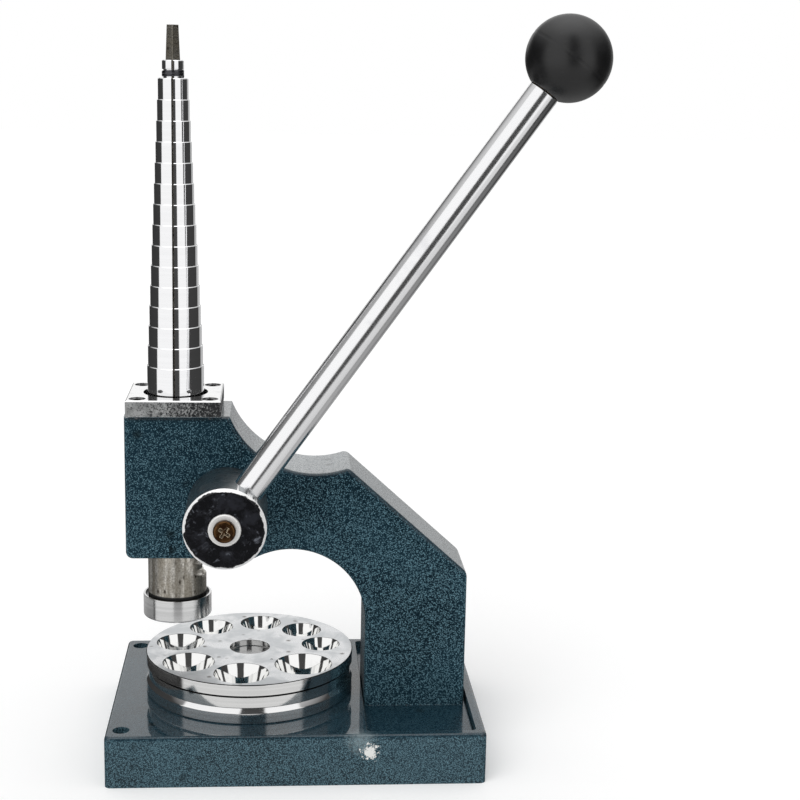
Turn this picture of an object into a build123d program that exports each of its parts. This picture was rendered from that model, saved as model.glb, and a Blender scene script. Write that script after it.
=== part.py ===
from build123d import *
import os
from math import atan, cos, pi, radians, sin, sqrt, tan

os.makedirs("parts", exist_ok=True)

# Frame of the part: +Z up, +Y to the rear, origin at the centre of the base's underside.

# Base plate
base_length = 156.5
base_depth = 114.0
base_height = 21.8
base_corner_radius = 2.5
base_top_edge_radius = 1.6
bench_hole_radius = 3.5
bench_hole_inset_x = 6.3
bench_hole_inset_y = 8.0

# Pocket in the base and the frame's foot that sits in it
pocket_die_gap = 3.95
pocket_rim = 4.0
pocket_floor = 10.0
pocket_corner_radius = 2.0
foot_clearance = 0.6
foot_height = 8.4

# Frame casting: a head, a column and a foot cast in one C
frame_thickness = 35.0
head_wall = 20.5
head_bottom = 84.8
head_top = 146.3
head_lower_radius = 3.0
column_set_in = 0.75
slope_upper_x = 22.4
slope_upper_z = 123.5
slope_lower_z = 78.2
slope_corner_radius = 5.0
slope_peak_radius = 3.0
saddle_x = 7.8
saddle_z = 160.7
saddle_radius = 38.85
arch_z = 56.8
arch_radius = 31.9
frame_edge_radius = 2.0

# Socket screws that hold the frame to the base, put in from below
frame_bolt_radius = 3.0
frame_bolt_head_radius = 5.0
frame_bolt_head_height = 6.0
frame_bolt_inset_x = 10.2
frame_bolt_inset_y = 14.4
frame_bolt_socket = 5.0
frame_bolt_hole_skin = 1.6
frame_bolt_tip_gap = 0.6

# Fits
screw_clearance = 0.05
running_clearance = 0.05
head_pocket_clearance = 0.3
face_gap = 0.1
socket_depth = 2.0

# Mandrel, stepped for ring sizes 1 to 15
mandrel_x = -51.5
size_one_diameter = 12.37
size_pitch = 0.8128
size_count = 15
step_height = 8.465
step_chamfer = 0.3
kerf_width = 0.8
jaw_flange_lip = 1.45
jaw_flange_height = 3.0
jaw_flange_play = 0.8
jaw_collar_height = 19.0
nose_radius = 4.43
ring_groove_depth = 0.55
nose_height = 3.7

# Ring that holds the four jaws together at the top
jaw_ring_play = 0.37
jaw_ring_thickness = 0.72
jaw_ring_height = 3.4
jaw_ring_waist = 0.3

# Wedge rod, square and tapered, its corners on the saw cuts between the jaws
wedge_stand_out = 14.0
wedge_tip_half_side = 1.8
wedge_slope = 0.0275
wedge_corner_chamfer = 0.25
wedge_stud_radius = 4.0
wedge_stud_length = 15.0
wedge_pin_radius = 1.5
wedge_pin_drop = 8.0

# Top plate
top_plate_side = 39.3
top_plate_thickness = 7.25
top_plate_hole_play = 1.68
top_plate_chamfer = 0.5
top_screw_inset = 4.65
top_screw_radius = 2.0
top_screw_head_radius = 3.4
top_screw_head_height = 3.6
top_screw_sunk = 0.4
top_screw_length = 12.0
top_screw_socket = 3.0

# Ram with its rack
ram_radius = 12.5
ram_headroom = 13.2
ram_chamfer = 0.8
rack_flat_depth = 1.55
rack_run_out = 0.76
gear_module = 1.5
pressure_angle = 20.0
pinion_teeth = 17
gear_backlash = 0.15
root_clearance = 0.375
rack_spaces_below = 7
rack_spaces_above = 4

# Press cap under the ram
press_opening = 16.1
cap_wall = 0.95
cap_height = 9.7
cap_floor = 3.1
cap_seat_depth = 4.2
cap_mouth_gap = 1.2
cap_chamfer = 0.6
cap_screw_radius = 2.5
cap_screw_head_radius = 5.0
cap_screw_head_height = 1.9
cap_screw_length = 13.0
cap_screw_socket = 3.0
cap_screw_sunk = 0.1

# Pinion, its shaft, bushes and rear cover
pinion_z = 108.75
pinion_width = 18.0
pinion_boss_radius = 9.0
pinion_boss_length = 3.6
shaft_radius = 6.0
shaft_end_gap = 1.5
shaft_chamfer = 0.6
pinion_tip_gap = 0.55
pinion_side_gap = 0.5
bush_wall = 3.0
bush_flange_radius = 13.0
bush_flange_thickness = 1.0
rear_cover_rim = 1.5
rear_cover_thickness = 5.0
rear_spigot_length = 4.5
rear_cover_chamfer = 0.6
rear_screw_wall = 1.0
rear_screw_radius = 1.5
rear_screw_head_radius = 2.75
rear_screw_head_height = 3.0
rear_screw_length = 10.0
rear_screw_socket = 2.5
rear_screw_count = 3
key_width = 4.0
key_height = 4.0
key_seat = 3.8
pinion_key_length = 16.0
hub_key_length = 12.0
hub_key_inset = 4.0

# Lever hub and what closes its front
hub_radius = 16.75
hub_length = 36.3
hub_rear_gap = 0.2
hub_front_chamfer = 1.2
hub_rear_chamfer = 0.6
hub_front_wall = 4.0
hub_rim = 1.45
face_disc_thickness = 0.8
hub_washer_radius = 6.6
hub_washer_thickness = 1.3
hub_washer_chamfer = 0.4
hub_screw_radius = 2.5
hub_screw_length = 18.0
hub_screw_head_radius = 4.6
hub_screw_head_height = 2.6
hub_screw_crown = 1.2
cross_recess_length = 4.8
cross_recess_width = 1.0
cross_recess_depth = 1.4

# Lever
lever_angle = 54.4
lever_length = 228.6
lever_setback = 14.0
lever_radius = 6.45
lever_seat_wall = 1.6
lever_chamfer = 0.5
knob_radius = 17.05
knob_flat_depth = 1.35
knob_stud_radius = 4.0
knob_stud_length = 12.0
knob_insert_radius = 6.0
knob_insert_length = 13.5

# Die plate and the seat it turns on
die_plate_radius = 45.0
die_plate_thickness = 10.4
die_band_height = 4.9
die_groove_height = 1.0
die_groove_depth = 2.4
die_waist_depth = 0.9
die_edge_chamfer = 0.3
die_circle_radius = 31.3
die_wall_angle = 18.5
die_diameters = (16.6, 17.4, 18.2, 19.3, 20.8, 22.0, 23.2, 24.4)
die_angles = (5.7, 42.8, 81.8, 124.6, 167.5, 214.7, 264.4, 317.6)
index_mark_radius = 0.5
index_mark_circle = 18.0
index_mark_angle = -57.8
index_mark_depth = 0.6
seat_height = 6.9
seat_bevel_width = 1.2
seat_bevel_height = 2.0
seat_screw_circle = 30.0
seat_screw_radius = 2.5
seat_screw_head_radius = 4.25
seat_screw_head_height = 5.0
seat_screw_tip_gap = 1.0
seat_screw_socket = 4.0
seat_screw_count = 3

# Pivot of the die plate
pivot_radius = 8.65
pivot_sunk = 2.7
pivot_chamfer = 0.5
pivot_screw_radius = 4.0
pivot_screw_head_radius = 6.5
pivot_screw_head_height = 8.0
pivot_screw_length = 22.0
pivot_screw_socket = 6.0



def size_radius(size):
    return (size_one_diameter + size_pitch * (size - 1)) / 2


# Places that follow from the sizes above
half_frame = frame_thickness / 2
head_left = mandrel_x - head_wall
die_x = mandrel_x + die_circle_radius
pocket_left = die_x + die_plate_radius + pocket_die_gap
pocket_right = base_length / 2 - pocket_rim
pocket_length = pocket_right - pocket_left
pocket_depth = base_depth - 2 * pocket_rim
pocket_x = (pocket_left + pocket_right) / 2
foot_length = pocket_length - 2 * foot_clearance
foot_depth = pocket_depth - 2 * foot_clearance
column_left = pocket_left + foot_clearance
column_right = pocket_right - foot_clearance - column_set_in
arch_x = column_left - arch_radius
top_plate_top = head_top + top_plate_thickness
top_plate_hole_radius = size_radius(size_count) + top_plate_hole_play
jaw_flange_radius = top_plate_hole_radius + jaw_flange_lip
ring_groove_radius = nose_radius - ring_groove_depth
jaw_ring_inner_radius = ring_groove_radius + jaw_ring_play
jaw_bottom = head_top - jaw_flange_height - face_gap
collar_top = head_top + jaw_collar_height
mandrel_top = collar_top + step_height * (size_count - 1)
nose_bottom = mandrel_top + jaw_ring_height + face_gap
nose_top = nose_bottom + nose_height
wedge_tip_z = nose_top + wedge_stand_out
ram_top = jaw_bottom - ram_headroom
rack_tip_offset = ram_radius - rack_flat_depth
rack_pitch_offset = rack_tip_offset - gear_module
rack_root_offset = rack_pitch_offset - gear_module - root_clearance
pitch_radius = gear_module * pinion_teeth / 2
tip_radius = pitch_radius + gear_module
root_radius = pitch_radius - gear_module - root_clearance
pinion_x = mandrel_x + rack_pitch_offset + pitch_radius
tooth_pitch = pi * gear_module
chamber_radius = tip_radius + pinion_tip_gap
rear_screw_circle = chamber_radius + rear_screw_wall + rear_screw_radius
rear_cover_radius = rear_screw_circle + rear_screw_head_radius + rear_cover_rim
pinion_front = -pinion_width / 2
pinion_rear = pinion_width / 2 + pinion_boss_length
chamber_front = pinion_front - pinion_side_gap
spigot_face = half_frame - rear_spigot_length
cover_face = half_frame + rear_cover_thickness
bush_radius = shaft_radius + bush_wall
bush_bore = shaft_radius + running_clearance
hub_rear = -half_frame - bush_flange_thickness - hub_rear_gap
hub_front = hub_rear - hub_length
face_disc_radius = hub_radius - hub_rim
shaft_front = hub_front + hub_front_wall
shaft_rear = cover_face - shaft_end_gap
lever_y = hub_front + lever_setback
seat_radius = die_plate_radius
seat_top = base_height + seat_height
die_bottom = seat_top + face_gap
die_top = die_bottom + die_plate_thickness
pivot_top = die_top - pivot_sunk
pivot_bore = pivot_radius + running_clearance
cap_bottom = die_top + press_opening
cap_top = cap_bottom + cap_height
cap_mouth_radius = ram_radius + cap_mouth_gap
cap_radius = cap_mouth_radius + cap_wall
ram_bottom = cap_bottom + cap_floor
ram_bore = ram_radius + running_clearance


def wedge_half_side(height):
    return wedge_tip_half_side + (wedge_tip_z - height) * wedge_slope


def across(distance):
    """Plane square to the pinion shaft at this Y, facing the front."""
    return Plane.XZ.offset(-distance)


def flipped(spots):
    """The same places as a plane turned to face the other way sees them."""
    return [(x, -y) for x, y in spots]


def around(centre, radius, count):
    turns = [radians(360 * n / count) for n in range(count)]
    return [(centre[0] + radius * cos(turn), centre[1] + radius * sin(turn)) for turn in turns]


def four_spots(centre_x, pitch_x, pitch_y):
    return [(centre_x + sx * pitch_x / 2, sy * pitch_y / 2) for sx in (-1, 1) for sy in (-1, 1)]


lever_direction = (cos(radians(lever_angle)), 0, sin(radians(lever_angle)))
lever_plane = Plane(origin=(pinion_x, lever_y, pinion_z), x_dir=(0, 1, 0), z_dir=lever_direction)
lever_inner_end = shaft_radius + lever_seat_wall
frame_bolt_pitch_x = foot_length - 2 * frame_bolt_inset_x
frame_bolt_pitch_y = foot_depth - 2 * frame_bolt_inset_y
frame_bolt_spots = four_spots(pocket_x, frame_bolt_pitch_x, frame_bolt_pitch_y)
top_screw_pitch = top_plate_side - 2 * top_screw_inset
top_screw_spots = four_spots(mandrel_x, top_screw_pitch, top_screw_pitch)
seat_screw_spots = around((die_x, 0), seat_screw_circle, seat_screw_count)
rear_screw_spots = around((pinion_x, pinion_z), rear_screw_circle, rear_screw_count)
bench_hole_x = bench_hole_inset_x - base_length / 2
bench_hole_y = base_depth / 2 - bench_hole_inset_y


def screw_set(seat, spots, radius, length, head_radius, head_height, socket):
    """Socket screws whose heads stand on the seat plane and whose shanks go down from it."""
    with BuildPart() as screws:
        with BuildSketch(seat):
            with Locations(*spots):
                Circle(head_radius)
        extrude(amount=head_height)
        with BuildSketch(seat):
            with Locations(*spots):
                Circle(radius)
        extrude(amount=-length)
        with BuildSketch(seat.offset(head_height)):
            with Locations(*spots):
                RegularPolygon(socket / 2, 6, major_radius=False)
        extrude(amount=-socket_depth, mode=Mode.SUBTRACT)
    return screws


def save(piece, name):
    piece.part.label = name
    export_step(piece.part, f"parts/{name}.step")


# Cast base plate, pocketed for the foot and drilled for the bench
frame_bolt_seat = frame_bolt_head_height + head_pocket_clearance
frame_bolt_hole_depth = foot_height - frame_bolt_hole_skin
seat_screw_seat = seat_screw_head_height + head_pocket_clearance
pivot_screw_seat = pivot_screw_head_height + head_pocket_clearance

with BuildPart() as base_plate:
    with BuildSketch():
        RectangleRounded(base_length, base_depth, base_corner_radius)
    extrude(amount=base_height)
    fillet(base_plate.faces().sort_by(Axis.Z)[-1].edges(), base_top_edge_radius)
    with BuildSketch(Plane.XY.offset(pocket_floor)):
        with Locations((pocket_x, 0)):
            RectangleRounded(pocket_length, pocket_depth, pocket_corner_radius)
    extrude(amount=base_height - pocket_floor, mode=Mode.SUBTRACT)
    with BuildSketch():
        with Locations((bench_hole_x, bench_hole_y), (bench_hole_x, -bench_hole_y)):
            Circle(bench_hole_radius)
        with Locations(*frame_bolt_spots):
            Circle(frame_bolt_radius + screw_clearance)
        with Locations(*seat_screw_spots):
            Circle(seat_screw_radius + screw_clearance)
        with Locations((die_x, 0)):
            Circle(pivot_screw_radius + screw_clearance)
    extrude(amount=base_height, mode=Mode.SUBTRACT)
    with BuildSketch():
        with Locations(*frame_bolt_spots):
            Circle(frame_bolt_head_radius + head_pocket_clearance)
    extrude(amount=frame_bolt_seat, mode=Mode.SUBTRACT)
    with BuildSketch():
        with Locations(*seat_screw_spots):
            Circle(seat_screw_head_radius + head_pocket_clearance)
    extrude(amount=seat_screw_seat, mode=Mode.SUBTRACT)
    with BuildSketch():
        with Locations((die_x, 0)):
            Circle(pivot_screw_head_radius + head_pocket_clearance)
    extrude(amount=pivot_screw_seat, mode=Mode.SUBTRACT)
save(base_plate, "base_plate")

# C-shaped frame casting: saddle above, arch below, foot in the base's pocket
slope_fall = (slope_upper_z - slope_lower_z) / (column_right - slope_upper_x)
slope_start_x = slope_upper_x - (head_top - slope_upper_z) / slope_fall

with BuildPart() as frame_casting:
    with BuildSketch(Plane.XZ):
        with BuildLine():
            Polyline(
                (head_left, head_bottom),
                (head_left, head_top),
                (slope_start_x, head_top),
                (column_right, slope_lower_z),
                (column_right, pocket_floor),
                (column_left, pocket_floor),
                (column_left, arch_z),
                (arch_x, arch_z),
                (arch_x, head_bottom),
                close=True,
            )
        make_face()
        with Locations((saddle_x, saddle_z)):
            Circle(saddle_radius, mode=Mode.SUBTRACT)
        with Locations((arch_x, arch_z)):
            Circle(arch_radius, mode=Mode.SUBTRACT)
    extrude(amount=half_frame, both=True)
    uprights = frame_casting.edges().filter_by(Axis.Y)
    lower_corner = uprights.sort_by_distance((head_left, 0, head_bottom))[0]
    slope_corner = uprights.sort_by_distance((column_right, 0, slope_lower_z))[0]
    slope_peak = uprights.sort_by_distance((slope_upper_x, 0, slope_upper_z))[0]
    fillet(lower_corner, head_lower_radius)
    fillet(slope_corner, slope_corner_radius)
    fillet(slope_peak, slope_peak_radius)
    fillet(frame_casting.faces().sort_by(Axis.Y)[0].edges(), frame_edge_radius)
    fillet(frame_casting.faces().sort_by(Axis.Y)[-1].edges(), frame_edge_radius)
    with BuildSketch(Plane.XY.offset(pocket_floor)):
        with Locations((pocket_x, 0)):
            RectangleRounded(foot_length, foot_depth, pocket_corner_radius)
    extrude(amount=foot_height)
    # Ram bore and the recess that holds the jaw flanges
    with BuildSketch(Plane.XY.offset(head_bottom)):
        with Locations((mandrel_x, 0)):
            Circle(ram_bore)
    extrude(amount=head_top - head_bottom, mode=Mode.SUBTRACT)
    with BuildSketch(Plane.XY.offset(jaw_bottom)):
        with Locations((mandrel_x, 0)):
            Circle(jaw_flange_radius + jaw_flange_play)
    extrude(amount=head_top - jaw_bottom, mode=Mode.SUBTRACT)
    # Pinion chamber, open to the rear, and the seat of the front bush
    with BuildSketch(across(chamber_front)):
        with Locations((pinion_x, pinion_z)):
            Circle(chamber_radius)
    extrude(amount=chamber_front - half_frame, mode=Mode.SUBTRACT)
    with BuildSketch(across(chamber_front)):
        with Locations((pinion_x, pinion_z)):
            Circle(bush_radius)
    extrude(amount=half_frame + chamber_front, mode=Mode.SUBTRACT)
    # Tapped holes for the cover, the top plate and the base
    with BuildSketch(across(half_frame)):
        with Locations(*rear_screw_spots):
            Circle(rear_screw_radius + screw_clearance)
    extrude(amount=rear_screw_length, mode=Mode.SUBTRACT)
    with BuildSketch(Plane.XY.offset(head_top)):
        with Locations(*top_screw_spots):
            Circle(top_screw_radius + screw_clearance)
    extrude(amount=-top_screw_length, mode=Mode.SUBTRACT)
    with BuildSketch(Plane.XY.offset(pocket_floor)):
        with Locations(*frame_bolt_spots):
            Circle(frame_bolt_radius + screw_clearance)
    extrude(amount=frame_bolt_hole_depth, mode=Mode.SUBTRACT)
save(frame_casting, "frame_casting")

frame_bolts = screw_set(
    -Plane.XY.offset(frame_bolt_seat),
    flipped(frame_bolt_spots),
    frame_bolt_radius,
    pocket_floor + frame_bolt_hole_depth - frame_bolt_tip_gap - frame_bolt_seat,
    frame_bolt_head_radius,
    frame_bolt_head_height,
    frame_bolt_socket,
)
save(frame_bolts, "frame_bolts")

# Square top plate that keeps the jaw flanges down
top_screw_seat = top_plate_top - top_screw_sunk - top_screw_head_height
with BuildPart() as top_plate:
    with BuildSketch(Plane.XY.offset(head_top)):
        with Locations((mandrel_x, 0)):
            Rectangle(top_plate_side, top_plate_side)
            Circle(top_plate_hole_radius, mode=Mode.SUBTRACT)
        with Locations(*top_screw_spots):
            Circle(top_screw_radius + screw_clearance, mode=Mode.SUBTRACT)
    extrude(amount=top_plate_thickness)
    top_plate_faces = top_plate.faces().sort_by(Axis.Z)
    chamfer(
        top_plate_faces[0].outer_wire().edges() + top_plate_faces[-1].outer_wire().edges(),
        top_plate_chamfer,
    )
    with BuildSketch(Plane.XY.offset(top_screw_seat)):
        with Locations(*top_screw_spots):
            Circle(top_screw_head_radius + screw_clearance)
    extrude(amount=top_plate_top - top_screw_seat, mode=Mode.SUBTRACT)
save(top_plate, "top_plate")

top_plate_screws = screw_set(
    Plane.XY.offset(top_screw_seat),
    top_screw_spots,
    top_screw_radius,
    top_screw_length,
    top_screw_head_radius,
    top_screw_head_height,
    top_screw_socket,
)
save(top_plate_screws, "top_plate_screws")

# Four jaws: one stepped mandrel, bored square for the wedge and sawn into quarters
flange_top = jaw_bottom + jaw_flange_height
with BuildPart() as mandrel:
    with BuildSketch(Plane.XY.offset(jaw_bottom)):
        Circle(jaw_flange_radius)
    extrude(amount=jaw_flange_height)
    with BuildSketch(Plane.XY.offset(flange_top)):
        Circle(size_radius(size_count))
    extrude(amount=collar_top - flange_top)
    chamfer(mandrel.faces().sort_by(Axis.Z)[-1].edges(), step_chamfer)
    for size in range(size_count - 1, 0, -1):
        with BuildSketch(Plane.XY.offset(mandrel_top - size * step_height)):
            Circle(size_radius(size))
        extrude(amount=step_height)
        chamfer(mandrel.faces().sort_by(Axis.Z)[-1].edges(), step_chamfer)
    with BuildSketch(Plane.XY.offset(mandrel_top)):
        Circle(ring_groove_radius)
    extrude(amount=nose_bottom - mandrel_top)
    with BuildSketch(Plane.XY.offset(nose_bottom)):
        Circle(nose_radius)
    extrude(amount=nose_height)
    for height in (jaw_bottom, nose_top):
        with BuildSketch(Plane.XY.offset(height)):
            side = 2 * (wedge_half_side(height) + running_clearance)
            Rectangle(side, side, rotation=45)
    loft(mode=Mode.SUBTRACT)
    with BuildSketch(Plane.XY.offset(jaw_bottom)):
        Rectangle(kerf_width, 2 * jaw_flange_radius)
        Rectangle(2 * jaw_flange_radius, kerf_width)
    extrude(amount=nose_top - jaw_bottom, mode=Mode.SUBTRACT)

jaw_places = (("rear_right", 1, 1), ("rear_left", -1, 1), ("front_left", -1, -1), ("front_right", 1, -1))
for place, side_x, side_y in jaw_places:
    corner = (side_x * jaw_flange_radius, side_y * jaw_flange_radius, 0)
    with BuildPart(Plane.XY.move(Location((mandrel_x, 0, 0)))) as jaw:
        add(mandrel.solids().sort_by_distance(corner)[0])
    save(jaw, f"jaw_{place}")

# Spring ring of two turns in the groove under the nose
jaw_ring_middle = (mandrel_top + nose_bottom) / 2
with BuildPart() as jaw_ring:
    with BuildSketch(Plane.XZ):
        with Locations((mandrel_x + jaw_ring_inner_radius, jaw_ring_middle)):
            Rectangle(jaw_ring_thickness, jaw_ring_height, align=(Align.MIN, Align.CENTER))
        with Locations((mandrel_x + jaw_ring_inner_radius + jaw_ring_thickness, jaw_ring_middle)):
            Rectangle(jaw_ring_waist, jaw_ring_waist, rotation=45, mode=Mode.SUBTRACT)
    revolve(axis=Axis((mandrel_x, 0, 0), (0, 0, 1)))
save(jaw_ring, "jaw_ring")

# Wedge rod with the threaded stud that goes down into the ram
pin_height = ram_top - wedge_pin_drop
pin_length = 2 * (ram_radius - wedge_pin_radius)
with BuildPart() as wedge_rod:
    for height in (ram_top, wedge_tip_z):
        with BuildSketch(Plane.XY.offset(height)):
            with Locations((mandrel_x, 0)):
                Rectangle(2 * wedge_half_side(height), 2 * wedge_half_side(height), rotation=45)
    loft()
    long_edges = wedge_rod.edges().sort_by(SortBy.LENGTH)[-4:]
    chamfer(long_edges, wedge_corner_chamfer)
    with BuildSketch(Plane.XY.offset(ram_top)):
        with Locations((mandrel_x, 0)):
            Circle(wedge_stud_radius)
    extrude(amount=-wedge_stud_length)
    with BuildSketch(Plane.XZ):
        with Locations((mandrel_x, pin_height)):
            Circle(wedge_pin_radius + screw_clearance)
    extrude(amount=ram_radius, both=True, mode=Mode.SUBTRACT)
save(wedge_rod, "wedge_rod")

# Ram, flattened on its right side and cut with the rack
rack_tip_half = tooth_pitch / 4 + gear_module * tan(radians(pressure_angle)) + gear_backlash / 2
rack_root_half = rack_tip_half - (rack_tip_offset - rack_root_offset) * tan(radians(pressure_angle))
rack_bottom = pinion_z - rack_spaces_below * tooth_pitch - rack_tip_half - rack_run_out
rack_end = pinion_z + (rack_spaces_above + 1) * tooth_pitch - rack_tip_half
rack_tip_x = mandrel_x + rack_tip_offset
rack_root_x = mandrel_x + rack_root_offset
with BuildPart() as ram:
    with BuildSketch(Plane.XY.offset(ram_bottom)):
        with Locations((mandrel_x, 0)):
            Circle(ram_radius)
    extrude(amount=ram_top - ram_bottom)
    chamfer(ram.faces().sort_by(Axis.Z)[-1].edges(), ram_chamfer)
    chamfer(ram.faces().sort_by(Axis.Z)[0].edges(), ram_chamfer)
    with BuildSketch(Plane.XZ):
        with Locations((rack_tip_x, rack_bottom)):
            Rectangle(ram_radius, ram_top - rack_bottom, align=Align.MIN)
        with Locations((rack_root_x, rack_end)):
            Rectangle(ram_radius, ram_top - rack_end, align=Align.MIN)
        for space in range(-rack_spaces_below, rack_spaces_above + 1):
            space_z = pinion_z + space * tooth_pitch
            with BuildLine():
                Polyline(
                    (rack_tip_x, space_z - rack_tip_half),
                    (rack_root_x, space_z - rack_root_half),
                    (rack_root_x, space_z + rack_root_half),
                    (rack_tip_x, space_z + rack_tip_half),
                    close=True,
                )
            make_face()
    extrude(amount=ram_radius, both=True, mode=Mode.SUBTRACT)
    with BuildSketch(Plane.XY.offset(ram_top)):
        with Locations((mandrel_x, 0)):
            Circle(wedge_stud_radius + screw_clearance)
    extrude(amount=-wedge_stud_length - face_gap, mode=Mode.SUBTRACT)
    with BuildSketch(Plane.XZ):
        with Locations((mandrel_x, pin_height)):
            Circle(wedge_pin_radius + screw_clearance)
    extrude(amount=ram_radius, both=True, mode=Mode.SUBTRACT)
    with BuildSketch(Plane.XY.offset(ram_bottom)):
        with Locations((mandrel_x, 0)):
            Circle(cap_screw_radius + screw_clearance)
    extrude(amount=cap_screw_length, mode=Mode.SUBTRACT)
save(ram, "ram")

with BuildPart() as wedge_pin:
    with BuildSketch(Plane.XZ):
        with Locations((mandrel_x, pin_height)):
            Circle(wedge_pin_radius)
    extrude(amount=pin_length / 2, both=True)
save(wedge_pin, "wedge_pin")

# Press cap, a shallow cup on the foot of the ram
cap_screw_seat = cap_bottom + cap_screw_sunk + cap_screw_head_height
with BuildPart() as press_cap:
    with BuildSketch(Plane.XY.offset(cap_bottom)):
        with Locations((mandrel_x, 0)):
            Circle(cap_radius)
            Circle(cap_screw_radius + screw_clearance, mode=Mode.SUBTRACT)
    extrude(amount=cap_height)
    with BuildSketch(Plane.XY.offset(cap_bottom)):
        with Locations((mandrel_x, 0)):
            Circle(cap_screw_head_radius + screw_clearance)
    extrude(amount=cap_screw_seat - cap_bottom, mode=Mode.SUBTRACT)
    with BuildSketch(Plane.XY.offset(ram_bottom)):
        with Locations((mandrel_x, 0)):
            Circle(ram_radius + screw_clearance)
    extrude(amount=cap_seat_depth, mode=Mode.SUBTRACT)
    with BuildSketch(Plane.XY.offset(ram_bottom + cap_seat_depth)):
        with Locations((mandrel_x, 0)):
            Circle(cap_mouth_radius)
    extrude(amount=cap_top - ram_bottom - cap_seat_depth, mode=Mode.SUBTRACT)
    chamfer(press_cap.faces().sort_by(Axis.Z)[0].outer_wire().edges(), cap_chamfer)
save(press_cap, "press_cap")

press_cap_screw = screw_set(
    -Plane.XY.offset(cap_screw_seat),
    [(mandrel_x, 0)],
    cap_screw_radius,
    cap_screw_length,
    cap_screw_head_radius,
    cap_screw_head_height,
    cap_screw_socket,
)
save(press_cap_screw, "press_cap_screw")

# Pinion with involute teeth, one of them pointing square at the rack
base_radius = pitch_radius * cos(radians(pressure_angle))


def involute(radius):
    """Angle between the start of the involute and its point at this radius."""
    rolled = sqrt((radius / base_radius) ** 2 - 1)
    return rolled - atan(rolled)


def tooth_flank(points=5):
    half_tooth = (tooth_pitch / 2 - gear_backlash) / (2 * pitch_radius) + involute(pitch_radius)
    flank = [(root_radius - root_clearance, half_tooth)]
    for n in range(points):
        radius = base_radius + (tip_radius - base_radius) * n / (points - 1)
        flank.append((radius, half_tooth - involute(radius)))
    return [(radius * cos(turn), radius * sin(turn)) for radius, turn in flank]


with BuildSketch() as pinion_tooth:
    with BuildLine():
        upper = tooth_flank()
        lower = flipped(upper)
        Line(upper[0], upper[1])
        Spline(*upper[1:])
        Line(upper[-1], lower[-1])
        Spline(*lower[1:])
        Line(lower[0], lower[1])
        Line(lower[0], upper[0])
    make_face()

key_x = pinion_x
key_z = pinion_z - key_seat - key_height / 2
hub_key_front = shaft_front + hub_key_inset
with BuildPart() as pinion:
    with BuildSketch(across(pinion_width / 2)):
        with Locations((pinion_x, pinion_z)):
            Circle(root_radius)
            with PolarLocations(0, pinion_teeth, start_angle=180):
                add(pinion_tooth.sketch)
    extrude(amount=pinion_width)
    with BuildSketch(across(pinion_rear)):
        with Locations((pinion_x, pinion_z)):
            Circle(pinion_boss_radius)
    extrude(amount=pinion_boss_length)
    with BuildSketch(across(pinion_rear)):
        with Locations((pinion_x, pinion_z)):
            Circle(shaft_radius + screw_clearance)
        with Locations((key_x, key_z)):
            Rectangle(key_width + 2 * screw_clearance, key_height + 2 * screw_clearance)
    extrude(amount=pinion_rear - pinion_front, mode=Mode.SUBTRACT)
save(pinion, "pinion")

# Shaft from the lever hub through both bushes, with two keyways in line
key_lengths = ((-pinion_key_length / 2, pinion_key_length), (hub_key_front, hub_key_length))
with BuildPart() as pinion_shaft:
    with BuildSketch(across(shaft_rear)):
        with Locations((pinion_x, pinion_z)):
            Circle(shaft_radius)
    extrude(amount=shaft_rear - shaft_front)
    chamfer(pinion_shaft.edges().filter_by(GeomType.CIRCLE), shaft_chamfer)
    for key_front, key_length in key_lengths:
        with BuildSketch(across(key_front)):
            with Locations((key_x, key_z)):
                Rectangle(key_width, key_height)
        extrude(amount=-key_length, mode=Mode.SUBTRACT)
    with BuildSketch(across(shaft_front)):
        with Locations((pinion_x, pinion_z)):
            Circle(hub_screw_radius + screw_clearance)
    extrude(amount=-hub_screw_length, mode=Mode.SUBTRACT)
save(pinion_shaft, "pinion_shaft")

for name, (key_front, key_length) in zip(("pinion_key", "hub_key"), key_lengths):
    with BuildPart() as key:
        with BuildSketch(across(key_front)):
            with Locations((key_x, key_z)):
                Rectangle(key_width, key_height)
        extrude(amount=-key_length)
    save(key, name)

# Bronze bushes and the cover that closes the pinion chamber
with BuildPart() as front_bush:
    with BuildSketch(across(-half_frame)):
        with Locations((pinion_x, pinion_z)):
            Circle(bush_flange_radius)
    extrude(amount=bush_flange_thickness)
    with BuildSketch(across(chamber_front)):
        with Locations((pinion_x, pinion_z)):
            Circle(bush_radius)
    extrude(amount=half_frame + chamber_front)
    with BuildSketch(across(chamber_front)):
        with Locations((pinion_x, pinion_z)):
            Circle(bush_bore)
    extrude(amount=half_frame + chamber_front + bush_flange_thickness, mode=Mode.SUBTRACT)
save(front_bush, "front_bush")

with BuildPart() as rear_bush:
    with BuildSketch(across(shaft_rear)):
        with Locations((pinion_x, pinion_z)):
            Circle(bush_radius)
            Circle(bush_bore, mode=Mode.SUBTRACT)
    extrude(amount=shaft_rear - spigot_face)
save(rear_bush, "rear_bush")

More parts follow.
